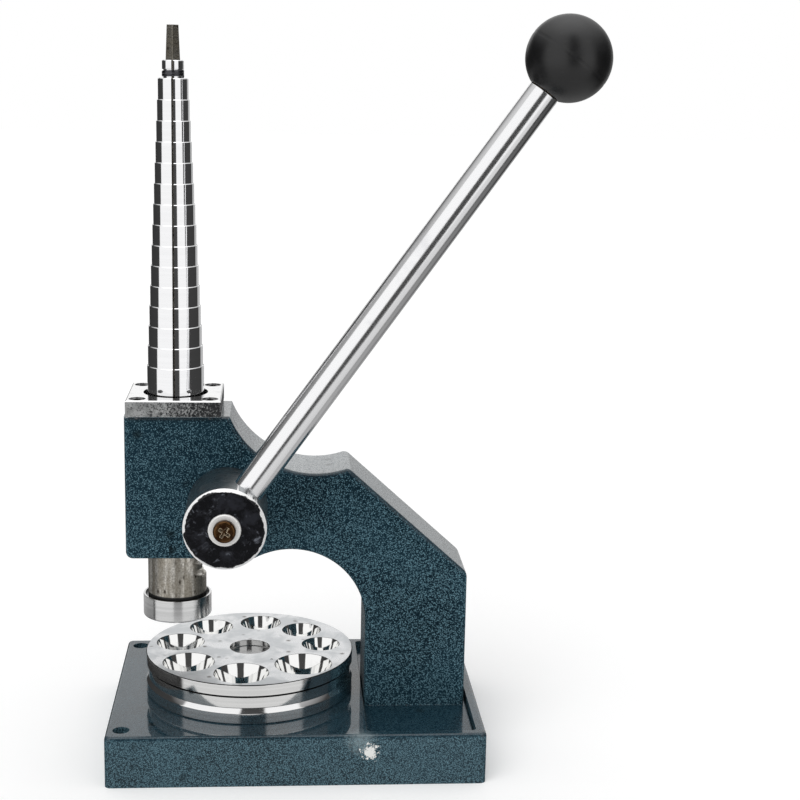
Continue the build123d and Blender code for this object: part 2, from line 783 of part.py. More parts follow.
rear_screw_seat = cover_face - rear_screw_head_height
with BuildPart() as rear_cover:
    with BuildSketch(across(cover_face)):
        with Locations((pinion_x, pinion_z)):
            Circle(rear_cover_radius)
    extrude(amount=rear_cover_thickness)
    chamfer(rear_cover.faces().sort_by(Axis.Y)[-1].edges(), rear_cover_chamfer)
    with BuildSketch(across(half_frame)):
        with Locations((pinion_x, pinion_z)):
            Circle(chamber_radius - screw_clearance)
    extrude(amount=rear_spigot_length)
    with BuildSketch(across(shaft_rear + face_gap)):
        with Locations((pinion_x, pinion_z)):
            Circle(bush_radius)
    extrude(amount=shaft_rear + face_gap - spigot_face, mode=Mode.SUBTRACT)
    with BuildSketch(across(cover_face)):
        with Locations(*rear_screw_spots):
            Circle(rear_screw_radius + screw_clearance)
    extrude(amount=rear_cover_thickness, mode=Mode.SUBTRACT)
    with BuildSketch(across(cover_face)):
        with Locations(*rear_screw_spots):
            Circle(rear_screw_head_radius + screw_clearance)
    extrude(amount=rear_screw_head_height, mode=Mode.SUBTRACT)
save(rear_cover, "rear_cover")

rear_cover_screws = screw_set(
    -across(rear_screw_seat),
    flipped(rear_screw_spots),
    rear_screw_radius,
    rear_screw_length,
    rear_screw_head_radius,
    rear_screw_head_height,
    rear_screw_socket,
)
save(rear_cover_screws, "rear_cover_screws")

# Lever hub, cross-drilled for the lever
with BuildPart() as lever_hub:
    with BuildSketch(across(hub_rear)):
        with Locations((pinion_x, pinion_z)):
            Circle(hub_radius)
    extrude(amount=hub_length)
    chamfer(lever_hub.faces().sort_by(Axis.Y)[0].edges(), hub_front_chamfer)
    chamfer(lever_hub.faces().sort_by(Axis.Y)[-1].edges(), hub_rear_chamfer)
    with BuildSketch(across(hub_front)):
        with Locations((pinion_x, pinion_z)):
            Circle(face_disc_radius + screw_clearance)
    extrude(amount=-face_disc_thickness, mode=Mode.SUBTRACT)
    with BuildSketch(across(hub_front)):
        with Locations((pinion_x, pinion_z)):
            Circle(hub_screw_radius + screw_clearance)
    extrude(amount=-hub_front_wall, mode=Mode.SUBTRACT)
    with BuildSketch(across(hub_rear)):
        with Locations((pinion_x, pinion_z)):
            Circle(shaft_radius + screw_clearance)
        with Locations((key_x, key_z)):
            Rectangle(key_width + 2 * screw_clearance, key_height + 2 * screw_clearance)
    extrude(amount=hub_rear - shaft_front, mode=Mode.SUBTRACT)
    with BuildSketch(lever_plane.offset(lever_inner_end)):
        Circle(lever_radius + screw_clearance)
    extrude(amount=hub_radius, mode=Mode.SUBTRACT)
save(lever_hub, "lever_hub")

with BuildPart() as hub_face:
    with BuildSketch(across(hub_front)):
        with Locations((pinion_x, pinion_z)):
            Circle(face_disc_radius)
            Circle(hub_screw_radius + screw_clearance, mode=Mode.SUBTRACT)
    extrude(amount=-face_disc_thickness)
save(hub_face, "hub_face")

with BuildPart() as hub_washer:
    with BuildSketch(across(hub_front)):
        with Locations((pinion_x, pinion_z)):
            Circle(hub_washer_radius)
            Circle(hub_screw_radius + screw_clearance, mode=Mode.SUBTRACT)
    extrude(amount=hub_washer_thickness)
    chamfer(hub_washer.faces().sort_by(Axis.Y)[0].outer_wire().edges(), hub_washer_chamfer)
save(hub_washer, "hub_washer")

# Crosshead screw that draws the hub on to the shaft
hub_screw_seat = hub_front - hub_washer_thickness
hub_screw_crown_face = hub_screw_seat - hub_screw_head_height
with BuildPart() as hub_screw:
    with BuildSketch(across(hub_screw_seat)):
        with Locations((pinion_x, pinion_z)):
            Circle(hub_screw_head_radius)
    extrude(amount=hub_screw_head_height)
    fillet(hub_screw.faces().sort_by(Axis.Y)[0].edges(), hub_screw_crown)
    with BuildSketch(across(hub_screw_crown_face)):
        with Locations((pinion_x, pinion_z)):
            Rectangle(cross_recess_length, cross_recess_width, rotation=lever_angle)
            Rectangle(cross_recess_width, cross_recess_length, rotation=lever_angle)
    extrude(amount=-cross_recess_depth, mode=Mode.SUBTRACT)
    with BuildSketch(across(hub_screw_seat)):
        with Locations((pinion_x, pinion_z)):
            Circle(hub_screw_radius)
    extrude(amount=-hub_screw_length)
save(hub_screw, "hub_screw")

# Lever rod from the hub to the knob
knob_face = lever_length - knob_radius + knob_flat_depth
with BuildPart() as lever_rod:
    with BuildSketch(lever_plane.offset(lever_inner_end)):
        Circle(lever_radius)
    extrude(amount=knob_face - lever_inner_end)
    chamfer(lever_rod.edges().filter_by(GeomType.CIRCLE), lever_chamfer)
    with BuildSketch(lever_plane.offset(knob_face)):
        Circle(knob_stud_radius)
    extrude(amount=knob_stud_length)
save(lever_rod, "lever_rod")

with BuildPart(lever_plane.offset(lever_length)) as ball_knob:
    Sphere(knob_radius)
    split(bisect_by=lever_plane.offset(knob_face), keep=Keep.TOP)
    with BuildSketch(lever_plane.offset(knob_face)):
        Circle(knob_insert_radius)
    extrude(amount=knob_insert_length, mode=Mode.SUBTRACT)
save(ball_knob, "ball_knob")

with BuildPart() as knob_insert:
    with BuildSketch(lever_plane.offset(knob_face)):
        Circle(knob_insert_radius)
    extrude(amount=knob_insert_length)
    with BuildSketch(lever_plane.offset(knob_face)):
        Circle(knob_stud_radius + screw_clearance)
    extrude(amount=knob_stud_length, mode=Mode.SUBTRACT)
save(knob_insert, "knob_insert")

# Die plate with its ring of conical holes
die_waist_top = die_top - die_band_height
die_groove_bottom = die_waist_top - die_groove_height
die_draft = die_plate_thickness * tan(radians(die_wall_angle))
with BuildPart() as die_plate:
    with BuildSketch(Plane.XY.offset(die_bottom)):
        with Locations((die_x, 0)):
            Circle(die_plate_radius - die_waist_depth)
    extrude(amount=die_groove_bottom - die_bottom)
    with BuildSketch(Plane.XY.offset(die_groove_bottom)):
        with Locations((die_x, 0)):
            Circle(die_plate_radius - die_groove_depth)
    extrude(amount=die_groove_height)
    with BuildSketch(Plane.XY.offset(die_waist_top)):
        with Locations((die_x, 0)):
            Circle(die_plate_radius)
    extrude(amount=die_band_height)
    chamfer(die_plate.faces().sort_by(Axis.Z)[-1].edges(), die_edge_chamfer)
    with BuildSketch(Plane.XY.offset(die_bottom)):
        with Locations((die_x, 0)):
            Circle(pivot_bore)
    extrude(amount=die_plate_thickness, mode=Mode.SUBTRACT)
    for diameter, angle in zip(die_diameters, die_angles):
        hole_x = die_x + die_circle_radius * cos(radians(angle))
        hole_y = die_circle_radius * sin(radians(angle))
        with Locations((hole_x, hole_y, die_bottom)):
            Cone(
                diameter / 2 - die_draft,
                diameter / 2,
                die_plate_thickness,
                align=(Align.CENTER, Align.CENTER, Align.MIN),
                mode=Mode.SUBTRACT,
            )
    mark_x = die_x + index_mark_circle * cos(radians(index_mark_angle))
    mark_y = index_mark_circle * sin(radians(index_mark_angle))
    with BuildSketch(Plane.XY.offset(die_top)):
        with Locations((mark_x, mark_y)):
            Circle(index_mark_radius)
    extrude(amount=-index_mark_depth, mode=Mode.SUBTRACT)
save(die_plate, "die_plate")

# Fixed seat under the die plate, bevelled round its top edge
with BuildPart() as die_seat:
    with BuildSketch(Plane.XY.offset(base_height)):
        with Locations((die_x, 0)):
            Circle(seat_radius)
    extrude(amount=seat_height - seat_bevel_height)
    with BuildSketch(Plane.XY.offset(seat_top - seat_bevel_height)):
        with Locations((die_x, 0)):
            Circle(seat_radius)
    with BuildSketch(Plane.XY.offset(seat_top)):
        with Locations((die_x, 0)):
            Circle(seat_radius - seat_bevel_width)
    loft()
    with BuildSketch(Plane.XY.offset(base_height)):
        with Locations((die_x, 0)):
            Circle(pivot_radius + screw_clearance)
    extrude(amount=seat_height, mode=Mode.SUBTRACT)
    with BuildSketch(Plane.XY.offset(base_height)):
        with Locations(*seat_screw_spots):
            Circle(seat_screw_radius + screw_clearance)
    extrude(amount=seat_height - seat_screw_tip_gap, mode=Mode.SUBTRACT)
save(die_seat, "die_seat")

die_seat_screws = screw_set(
    -Plane.XY.offset(seat_screw_seat),
    flipped(seat_screw_spots),
    seat_screw_radius,
    seat_top - seat_screw_tip_gap - seat_screw_seat,
    seat_screw_head_radius,
    seat_screw_head_height,
    seat_screw_socket,
)
save(die_seat_screws, "die_seat_screws")

# Pivot post in the middle of the seat, held by a screw from below
with BuildPart() as die_pivot:
    with BuildSketch(Plane.XY.offset(base_height)):
        with Locations((die_x, 0)):
            Circle(pivot_radius)
    extrude(amount=pivot_top - base_height)
    chamfer(die_pivot.faces().sort_by(Axis.Z)[-1].edges(), pivot_chamfer)
    with BuildSketch(Plane.XY.offset(base_height)):
        with Locations((die_x, 0)):
            Circle(pivot_screw_radius + screw_clearance)
    extrude(amount=pivot_screw_seat + pivot_screw_length - base_height, mode=Mode.SUBTRACT)
save(die_pivot, "die_pivot")

die_pivot_screw = screw_set(
    -Plane.XY.offset(pivot_screw_seat),
    [(die_x, 0)],
    pivot_screw_radius,
    pivot_screw_length,
    pivot_screw_head_radius,
    pivot_screw_head_height,
    pivot_screw_socket,
)
save(die_pivot_screw, "die_pivot_screw")
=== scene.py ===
from functools import cache, partial
from math import atan2, cos, pi, radians, sin

import bmesh
import bpy
from bpy.props import FloatProperty, FloatVectorProperty, IntProperty, PointerProperty
from mathutils import Matrix, Vector


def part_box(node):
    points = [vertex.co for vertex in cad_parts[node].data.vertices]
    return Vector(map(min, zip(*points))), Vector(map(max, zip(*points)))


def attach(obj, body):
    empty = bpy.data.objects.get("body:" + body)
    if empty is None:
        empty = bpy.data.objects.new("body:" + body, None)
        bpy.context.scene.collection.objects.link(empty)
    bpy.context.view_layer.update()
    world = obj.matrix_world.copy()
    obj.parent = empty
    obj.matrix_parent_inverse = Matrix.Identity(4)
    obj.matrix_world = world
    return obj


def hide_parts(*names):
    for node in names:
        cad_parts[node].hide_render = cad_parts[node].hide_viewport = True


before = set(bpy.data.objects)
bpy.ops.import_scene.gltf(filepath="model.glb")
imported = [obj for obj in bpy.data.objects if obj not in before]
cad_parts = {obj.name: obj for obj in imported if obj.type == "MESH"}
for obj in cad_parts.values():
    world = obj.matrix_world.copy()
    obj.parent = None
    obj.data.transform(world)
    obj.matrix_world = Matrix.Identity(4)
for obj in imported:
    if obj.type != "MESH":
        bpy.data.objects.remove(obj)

bl_info = {
    "name": "Ring Stretcher",
    "version": (1, 0, 0),
    "blender": (4, 5, 0),
    "location": "View3D > Sidebar > Ring Stretcher",
    "description": "Finishes a lever-worked ring stretcher and sets it on a studio floor",
    "category": "Add Mesh",
}

UP = Vector((0, 0, 1))
NO_TURN = (0, 0, 0)
WHITE = (1, 1, 1, 1)


# Places taken from the frame


def low(node):
    return Vector(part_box(node)[0])


def high(node):
    return Vector(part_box(node)[1])


def middle(node):
    return (low(node) + high(node)) / 2


mandrel = Vector((middle("press_cap").x, 0, 0))
pinion = Vector((middle("hub_washer").x, 0, middle("hub_washer").z))
die = Vector((middle("die_seat").x, 0, 0))
knob = middle("ball_knob")


@cache
def disc_radius():
    """Radius of the black disc on the hub's face."""
    return (high("hub_face").x - low("hub_face").x) / 2


def lever_tilt():
    """The turn about Y that lays the X axis along the lever."""
    reach = knob - pinion
    return -atan2(reach.z, reach.x)


@cache
def chip_spot():
    """Where the paint is knocked off, on the base's front face."""
    chip_x, below_top = 0.0300, 0.0072
    return (chip_x, low("base_plate").y, high("base_plate").z - below_top)


# Sizes and colours that a user may change


class StretcherSizes(bpy.types.PropertyGroup):
    size_one_radius: FloatProperty(
        name="Size one radius", description="Radius of the mandrel's smallest step",
        default=0.006185, unit="LENGTH",
    )
    size_gain: FloatProperty(
        name="Gain per size", description="How much the radius grows from one ring size to the next",
        default=0.0004064, unit="LENGTH",
    )
    size_count: IntProperty(
        name="Sizes", description="Number of ring sizes on the mandrel", default=15
    )
    step_height: FloatProperty(
        name="Step height", description="Height of one ring size's step",
        default=0.008465, unit="LENGTH",
    )
    step_chamfer: FloatProperty(
        name="Step chamfer", description="Chamfer on the upper rim of each step",
        default=0.0003, unit="LENGTH",
    )
    kerf: FloatProperty(
        name="Saw cut", description="Width of the cuts between the jaws",
        default=0.0008, unit="LENGTH",
    )
    wedge_slope: FloatProperty(
        name="Wedge slope", description="Taper of each side of the wedge rod", default=0.0275
    )
    spring_turns: IntProperty(
        name="Spring turns", description="Turns of the ring that holds the jaws", default=2
    )
    edge_ease: FloatProperty(
        name="Eased edges", description="Width of the eased edge on machined pieces",
        default=0.00016, unit="LENGTH",
    )
    shadow_line: FloatProperty(
        name="Shadow line", description="Undercut round the foot of the die plate's seat",
        default=0.0005, unit="LENGTH",
    )
    parting_line: FloatProperty(
        name="Parting line", description="Depth of the moulding line round the ball",
        default=0.00008, unit="LENGTH",
    )


class StretcherColours(bpy.types.PropertyGroup):
    paint_dark: FloatVectorProperty(
        name="Paint", description="Ground colour of the hammered paint",
        subtype="COLOR", size=4, default=(0.0022, 0.0125, 0.0205, 1),
    )
    paint_fleck: FloatVectorProperty(
        name="Paint flecks", description="Colour of the raised flecks in the paint",
        subtype="COLOR", size=4, default=(0.145, 0.275, 0.335, 1.0),
    )
    steel: FloatVectorProperty(
        name="Polished steel", description="Colour of the polished jaws",
        subtype="COLOR", size=4, default=(0.92, 0.92, 0.93, 1),
    )
    chrome: FloatVectorProperty(
        name="Chrome", description="Colour of the chromed lever",
        subtype="COLOR", size=4, default=(0.93, 0.93, 0.94, 1),
    )
    ball: FloatVectorProperty(
        name="Ball", description="Colour of the ball knob",
        subtype="COLOR", size=4, default=(0.004, 0.004, 0.0045, 1),
    )


def grey(level):
    return (level, level, level, 1)


def shaded(colour, factor):
    """The colour made darker or paler."""
    return tuple(min(1, part * factor) for part in colour[:3]) + (1,)


# Wiring of finishes


def add_node(tree, kind, inputs=None, **settings):
    """Adds a shader node, sets it up, and fills or links its inputs."""
    node = tree.nodes.new(f"ShaderNode{kind}")
    for name, value in settings.items():
        setattr(node, name, value)
    for key, value in (inputs or {}).items():
        if isinstance(value, bpy.types.NodeSocket):
            tree.links.new(value, node.inputs[key])
        else:
            node.inputs[key].default_value = value
    return node


def arithmetic(tree, operation, *values):
    return add_node(tree, "Math", dict(enumerate(values)), operation=operation).outputs[0]


def plus(tree, first, second):
    return arithmetic(tree, "ADD", first, second)


def minus(tree, first, second):
    return arithmetic(tree, "SUBTRACT", first, second)


def times(tree, first, second):
    return arithmetic(tree, "MULTIPLY", first, second)


def vector_step(tree, operation, *values, output="Vector"):
    inputs = dict(enumerate(values))
    return add_node(tree, "VectorMath", inputs, operation=operation).outputs[output]


def length_of(tree, vector):
    return vector_step(tree, "LENGTH", vector, output="Value")


def parts_of(tree, vector):
    """The X, Y and Z parts of a vector."""
    return add_node(tree, "SeparateXYZ", {0: vector}).outputs


def facing(tree):
    """The way the surface faces, as its X, Y and Z parts."""
    return parts_of(tree, add_node(tree, "NewGeometry").outputs["Normal"])


def spread(tree, value, start, end, to_start=0.0, to_end=1.0):
    """Maps a value from one range to another, clamped."""
    inputs = {0: value, 1: start, 2: end, 3: to_start, 4: to_end}
    return add_node(tree, "MapRange", inputs).outputs[0]


def blend(tree, amount, first, second, mode="MIX"):
    """Blends two colours."""
    inputs = {0: amount, 6: first, 7: second}
    return add_node(tree, "Mix", inputs, data_type="RGBA", blend_type=mode).outputs[2]


def noise(tree, place, scale, detail, roughness=0.5, distortion=0.0):
    inputs = {"Vector": place, "Scale": scale, "Detail": detail}
    inputs |= {"Roughness": roughness, "Distortion": distortion}
    return add_node(tree, "TexNoise", inputs).outputs


def object_place(tree, centre=(0, 0, 0), turn=NO_TURN, stretch=(1, 1, 1)):
    """Object coordinates about a centre, turned and stretched."""
    coords = add_node(tree, "TexCoord").outputs["Object"]
    moved = vector_step(tree, "SUBTRACT", coords, tuple(centre))
    inputs = {"Vector": moved, "Rotation": turn, "Scale": stretch}
    return add_node(tree, "Mapping", inputs).outputs[0]


def mixed_shader(tree, amount, first, second):
    return add_node(tree, "MixShader", {0: amount, 1: first, 2: second}).outputs[0]


# Effects that the finishes share


def new_group(name, amounts, outputs):
    """An effect that takes a place and some amounts; gives its tree, its inputs and its outputs."""
    group = bpy.data.node_groups.new(name, "ShaderNodeTree")
    group.interface.new_socket("Vector", in_out="INPUT", socket_type="NodeSocketVector")
    for label, default in amounts.items():
        socket = group.interface.new_socket(label, in_out="INPUT", socket_type="NodeSocketFloat")
        socket.default_value = default
    for label in outputs:
        group.interface.new_socket(label, in_out="OUTPUT", socket_type="NodeSocketFloat")
    source = group.nodes.new("NodeGroupInput").outputs[: 1 + len(amounts)]
    sink = group.nodes.new("NodeGroupOutput").inputs
    return group, source, sink


def hammer_group():
    """Hammered flecks: short raised worms of pale paint with dark ground between them."""
    amounts = {"Scale": 900.0, "Cover": 0.5}
    group, (place, scale, cover), sink = new_group("hammer_flecks", amounts, ("Mask", "Height"))
    wander = noise(group, place, scale, 0.0)["Color"]
    drift = vector_step(group, "MULTIPLY_ADD", wander, (0.0007, 0.0007, 0.0007), place)
    cells = {"Vector": drift, "Scale": scale, "Randomness": 0.7}
    grains = add_node(group, "TexVoronoi", cells, feature="F1").outputs["Distance"]
    worms = minus(group, 1.0, grains)
    edge = minus(group, 1.0, cover)
    body = spread(group, worms, minus(group, edge, 0.08), plus(group, edge, 0.18))
    glint = noise(group, place, times(group, scale, 1.9), 0.0)[0]
    bright = spread(group, glint, 0.5, 0.72, 0.75, 1.0)
    group.links.new(times(group, body, bright), sink[0])
    group.links.new(worms, sink[1])
    return group


def rings_group():
    """Turning marks: fine rings about the Z axis of the vector."""
    group, (place, pitch), sink = new_group("turning_marks", {"Pitch": 0.0002}, ("Height", "Tint"))
    radius = length_of(group, vector_step(group, "MULTIPLY", place, (1, 1, 0)))
    along = parts_of(group, place)[2]
    travel = arithmetic(group, "DIVIDE", plus(group, radius, along), pitch)
    for socket, scale, detail in ((sink[0], 1.0, 3.0), (sink[1], 0.12, 1.0)):
        inputs = {"W": travel, "Scale": scale, "Detail": detail}
        marks = add_node(group, "TexNoise", inputs, noise_dimensions="1D").outputs[0]
        group.links.new(marks, socket)
    return group


def stain_group():
    """Cloudy stains that cover part of a surface."""
    amounts = {"Scale": 100.0, "Cover": 0.5}
    group, (place, scale, cover), sink = new_group("stains", amounts, ("Mask",))
    cloud = noise(group, place, scale, 6.0, 0.62, 0.4)[0]
    edge = minus(group, 1.0, cover)
    stain = spread(group, cloud, minus(group, edge, 0.07), plus(group, edge, 0.07))
    group.links.new(stain, sink[0])
    return group


def pit_group():
    """Scattered small pits and specks."""
    amounts = {"Scale": 500.0, "Share": 0.12}
    group, (place, scale, share), sink = new_group("pits", amounts, ("Mask",))
    inputs = {"Vector": place, "Scale": scale}
    cells = add_node(group, "TexVoronoi", inputs, feature="F1").outputs
    tint = add_node(group, "SeparateColor", {0: cells["Color"]}).outputs[0]
    chosen = arithmetic(group, "LESS_THAN", tint, share)
    pit = spread(group, cells["Distance"], 0.42, 0.12)
    group.links.new(times(group, chosen, pit), sink[0])
    return group


def scratch_group():
    """Fine scratches along the vector's X axis."""
    amounts = {"Scale": 900.0, "Share": 0.3}
    group, (place, scale, share), sink = new_group("scratches", amounts, ("Mask", "Height"))
    drawn = vector_step(group, "MULTIPLY", place, (0.03, 1, 1))
    lines = noise(group, drawn, scale, 4.0, 0.7)[0]
    edge = minus(group, 1.0, times(group, share, 0.5))
    group.links.new(spread(group, lines, minus(group, edge, 0.25), edge), sink[0])
    group.links.new(lines, sink[1])
    return group


def wear_and_highlight_group():
    """Edges broken up by noise: rubbed by handling on most finishes, and a painted highlight on the
    bronzed screw.
    """
    amounts = {"Width": 0.0006, "Amount": 0.5}
    group, (place, width, amount), sink = new_group("edge_wear_and_highlight", amounts, ("Mask",))
    rounded = add_node(group, "Bevel", {"Radius": width}, samples=4).outputs[0]
    normal = add_node(group, "NewGeometry").outputs["Normal"]
    match = vector_step(group, "DOT_PRODUCT", rounded, normal, output="Value")
    edge = spread(group, match, 0.992, 0.90)
    broken = noise(group, place, 700.0, 3.0)[0]
    patchy = spread(group, broken, minus(group, 1.0, amount), 1.0)
    group.links.new(times(group, edge, times(group, patchy, 3.0)), sink[0])
    return group


EFFECT_MAKERS = {
    "hammer_flecks": hammer_group,
    "turning_marks": rings_group,
    "stains": stain_group,
    "pits": pit_group,
    "scratches": scratch_group,
    "edge_wear_and_highlight": wear_and_highlight_group,
}


def effect(tree, name, *inputs):
    """Places one of the shared effects with its own values."""
    group = bpy.data.node_groups.get(name) or EFFECT_MAKERS[name]()
    return add_node(tree, "Group", dict(enumerate(inputs)), node_tree=group).outputs



def stains(tree, place, scale, cover):
    return effect(tree, "stains", place, scale, cover)[0]


# Finishes


def finish_base(
    name, metallic=0.0, roughness=0.3, colour=grey(0.8), coat=0.0, coat_roughness=0.05, specular=0.5
):
    """A material with its Principled shader set to plain starting values."""
    material = bpy.data.materials.new(name)
    material.use_nodes = True
    tree = material.node_tree
    starting_values = {
        "Metallic": metallic, "Roughness": roughness, "Base Color": colour,
        "Specular IOR Level": specular, "Coat Weight": coat, "Coat Roughness": coat_roughness,
    }
    for socket, value in starting_values.items():
        tree.nodes["Principled BSDF"].inputs[socket].default_value = value
    return material, tree


def complete(material, tone, rough, height, distance, strength, **others):
    """Feeds the shader its colour, its roughness, a bump and any others; gives the material."""
    tree = material.node_tree
    bump = add_node(tree, "Bump", {"Height": height, "Distance": distance, "Strength": strength})
    fed = {"Base Color": tone, "Roughness": rough, "Normal": bump.outputs[0]}
    for name, value in (fed | others).items():
        tree.links.new(value, tree.nodes["Principled BSDF"].inputs[name])
    return material


def chipped(tree, paint, chip):
    """Paint with a ragged bare spot and a rubbed patch beside it; gives the paint and the spot."""
    torn_by = 0.0145
    rub_offset = (-0.004, 0.0, 0.0052)
    spot = object_place(tree, chip)
    ragged = noise(tree, spot, 620.0, 5.0, 0.7)["Color"]
    torn = vector_step(tree, "MULTIPLY_ADD", ragged, (torn_by,) * 3, spot)
    centred = vector_step(tree, "SUBTRACT", torn, (torn_by / 2,) * 3)
    bare = spread(tree, length_of(tree, centred), 0.0031, 0.0028)
    beside = vector_step(tree, "SUBTRACT", centred, rub_offset)
    rubbed = spread(tree, length_of(tree, beside), 0.0075, 0.002)
    paint = blend(tree, times(tree, rubbed, 0.35), paint, (0.34, 0.42, 0.44, 1))
    return blend(tree, bare, paint, (0.78, 0.78, 0.76, 1)), bare


def hammered_paint(name, colours, fleck_scale, covers, veil, shine, chip=None):
    """Two-tone hammered enamel under lacquer, worn at its edges, with a painted highlight on upward faces
    of the frame, more pale flecks low down as painted light, and where asked with a chip.
    """
    coat, coat_upright, coat_roughness = shine
    material, tree = finish_base(
        name, roughness=0.4, coat=coat, coat_roughness=coat_roughness, specular=0.04
    )
    place = object_place(tree)
    height_up = parts_of(tree, place)[2]
    # painted light: the frame gets more pale flecks below its head, so the lower frame reads lighter
    cover = spread(tree, height_up, 0.09, 0.15, covers[0], covers[1])
    flecks = effect(tree, "hammer_flecks", place, fleck_scale, cover)
    cloud = stains(tree, place, 26.0, 0.5)
    dark, pale = tuple(colours.paint_dark), tuple(colours.paint_fleck)
    ground = blend(tree, cloud, dark, shaded(dark, 1.6))
    paint = blend(tree, flecks["Mask"], ground, pale)
    haze = arithmetic(tree, "MULTIPLY_ADD", cloud, 0.03, veil)
    paint = blend(tree, haze, paint, (0.085, 0.125, 0.14, 1))
    way = facing(tree)
    level = spread(tree, way[2], 0.05, 0.55)
    flat_across = spread(tree, arithmetic(tree, "ABSOLUTE", way[1]), 0.45, 0.1)
    raised = spread(tree, height_up, 0.03, 0.06)
    paint = blend(tree, times(tree, level, 0.7), paint, ground)
    # painted highlight: upward faces of the raised frame are paled to grey, as if lit from above
    top = times(tree, times(tree, level, flat_across), raised)
    lying = times(tree, top, spread(tree, flecks["Height"], 0.3, 0.7, 0.25, 0.78))
    paint = blend(tree, lying, paint, (0.46, 0.49, 0.50, 1))
    worn = effect(tree, "edge_wear_and_highlight", place, 0.0004, 0.6)[0]
    rubbed_edges = times(tree, worn, spread(tree, raised, 0.0, 1.0, 0.3, 0.9))
    paint = blend(tree, rubbed_edges, paint, (0.42, 0.45, 0.46, 1))
    specks = effect(tree, "pits", place, 150.0, 0.035)[0]
    paint = blend(tree, times(tree, specks, 0.8), paint, (0.004, 0.010, 0.013, 1))
    height = flecks["Height"]
    if chip is not None:
        paint, bare = chipped(tree, paint, chip)
        height = minus(tree, height, bare)
    rough = spread(tree, flecks["Height"], 0.35, 0.65, 0.5, 0.3)
    lacquer = {"Coat Weight": spread(tree, level, 0.0, 1.0, coat_upright, coat)}
    return complete(material, paint, rough, height, 0.0002, 0.4, **lacquer)


def black_spill(tree, place, tone, spill):
    """Black that covers a face out to a ragged edge at the given radius."""
    out = length_of(tree, vector_step(tree, "MULTIPLY", place, (1, 1, 0)))
    ragged = noise(tree, place, 190.0, 5.0, 0.6)[0]
    reach = arithmetic(tree, "MULTIPLY_ADD", ragged, -0.0034, out)
    over = spread(tree, reach, spill - 0.00105, spill - 0.0012)
    return blend(tree, over, tone, (0.006, 0.006, 0.008, 1))


def turned_steel(
    name, centre, axis_turn, colour, roughness, pitch,
    stain=None, marks=0.25, pits=0.0, span=0.85, metallic=1.0, spill=None,
):
    """Steel turned about an axis: fine rings, a faint change of tone and, where asked, stains."""
    material, tree = finish_base(name, metallic, roughness, colour)
    place = object_place(tree, centre, axis_turn)
    rings = effect(tree, "turning_marks", place, pitch)
    tone = blend(tree, spread(tree, rings["Tint"], 0.35, 0.7), shaded(colour, span), colour)
    rough = spread(tree, rings["Height"], 0.3, 0.7, roughness * 0.8, roughness * 1.3)
    if stain is not None:
        cover, tint = stain
        cloud = stains(tree, place, 160.0, cover)
        tone = blend(tree, cloud, tone, tint)
        rough = plus(tree, rough, times(tree, cloud, 0.14))
    if pits:
        specks = effect(tree, "pits", place, 420.0, pits)[0]
        tone = blend(tree, specks, tone, (0.04, 0.035, 0.03, 1))
    if spill is not None:
        tone = black_spill(tree, place, tone, spill)
    return complete(material, tone, rough, rings["Height"], 0.000004, marks)


def chromed(name, colours, centre, turn):
    """Bright chrome with faint clouds and hairlines."""
    chrome = tuple(colours.chrome)
    material, tree = finish_base(name, metallic=1.0, roughness=0.1, colour=chrome)
    place = object_place(tree, centre, turn)
    cloud = stains(tree, place, 60.0, 0.35)
    lines = effect(tree, "scratches", place, 1500.0, 0.5)
    tone = blend(tree, cloud, chrome, (0.84, 0.84, 0.86, 1))
    haze = plus(tree, spread(tree, cloud, 0.0, 1.0, 0.15, 0.21), times(tree, lines["Mask"], 0.06))
    return complete(material, tone, haze, lines["Height"], 0.000002, 0.15)


def stained_edge_steel(name):
    """The top plate's sawn edge: grainy and blotched, darker towards the right."""
    material, tree = finish_base(name, metallic=0.85, roughness=0.5)
    place = object_place(tree, mandrel)
    cover = spread(tree, parts_of(tree, place)[0], -0.019, 0.015, 0.62, 0.40)
    grains = stains(tree, place, 1500.0, cover)
    blotches = stains(tree, place, 190.0, 0.5)
    tone = blend(tree, grains, (0.03, 0.032, 0.034, 1), (0.55, 0.56, 0.56, 1))
    tone = blend(tree, times(tree, blotches, 0.4), tone, (0.07, 0.072, 0.075, 1))
    rough = spread(tree, grains, 0.0, 1.0, 0.6, 0.35)
    return complete(material, tone, rough, grains, 0.00005, 0.5)


def ground_flat_steel(name, centre, colour, roughness):
    """Ground flat steel with fine straight marks and faint clouds."""
    material, tree = finish_base(name, metallic=1.0, roughness=roughness)
    place = object_place(tree, centre)
    lines = effect(tree, "scratches", place, 700.0, 0.5)
    cloud = stains(tree, place, 140.0, 0.35)
    tone = blend(tree, times(tree, cloud, 0.5), colour, shaded(colour, 0.8))
    haze = arithmetic(tree, "MULTIPLY_ADD", lines["Mask"], 0.1, roughness)
    return complete(material, tone, haze, lines["Height"], 0.000004, 0.3)


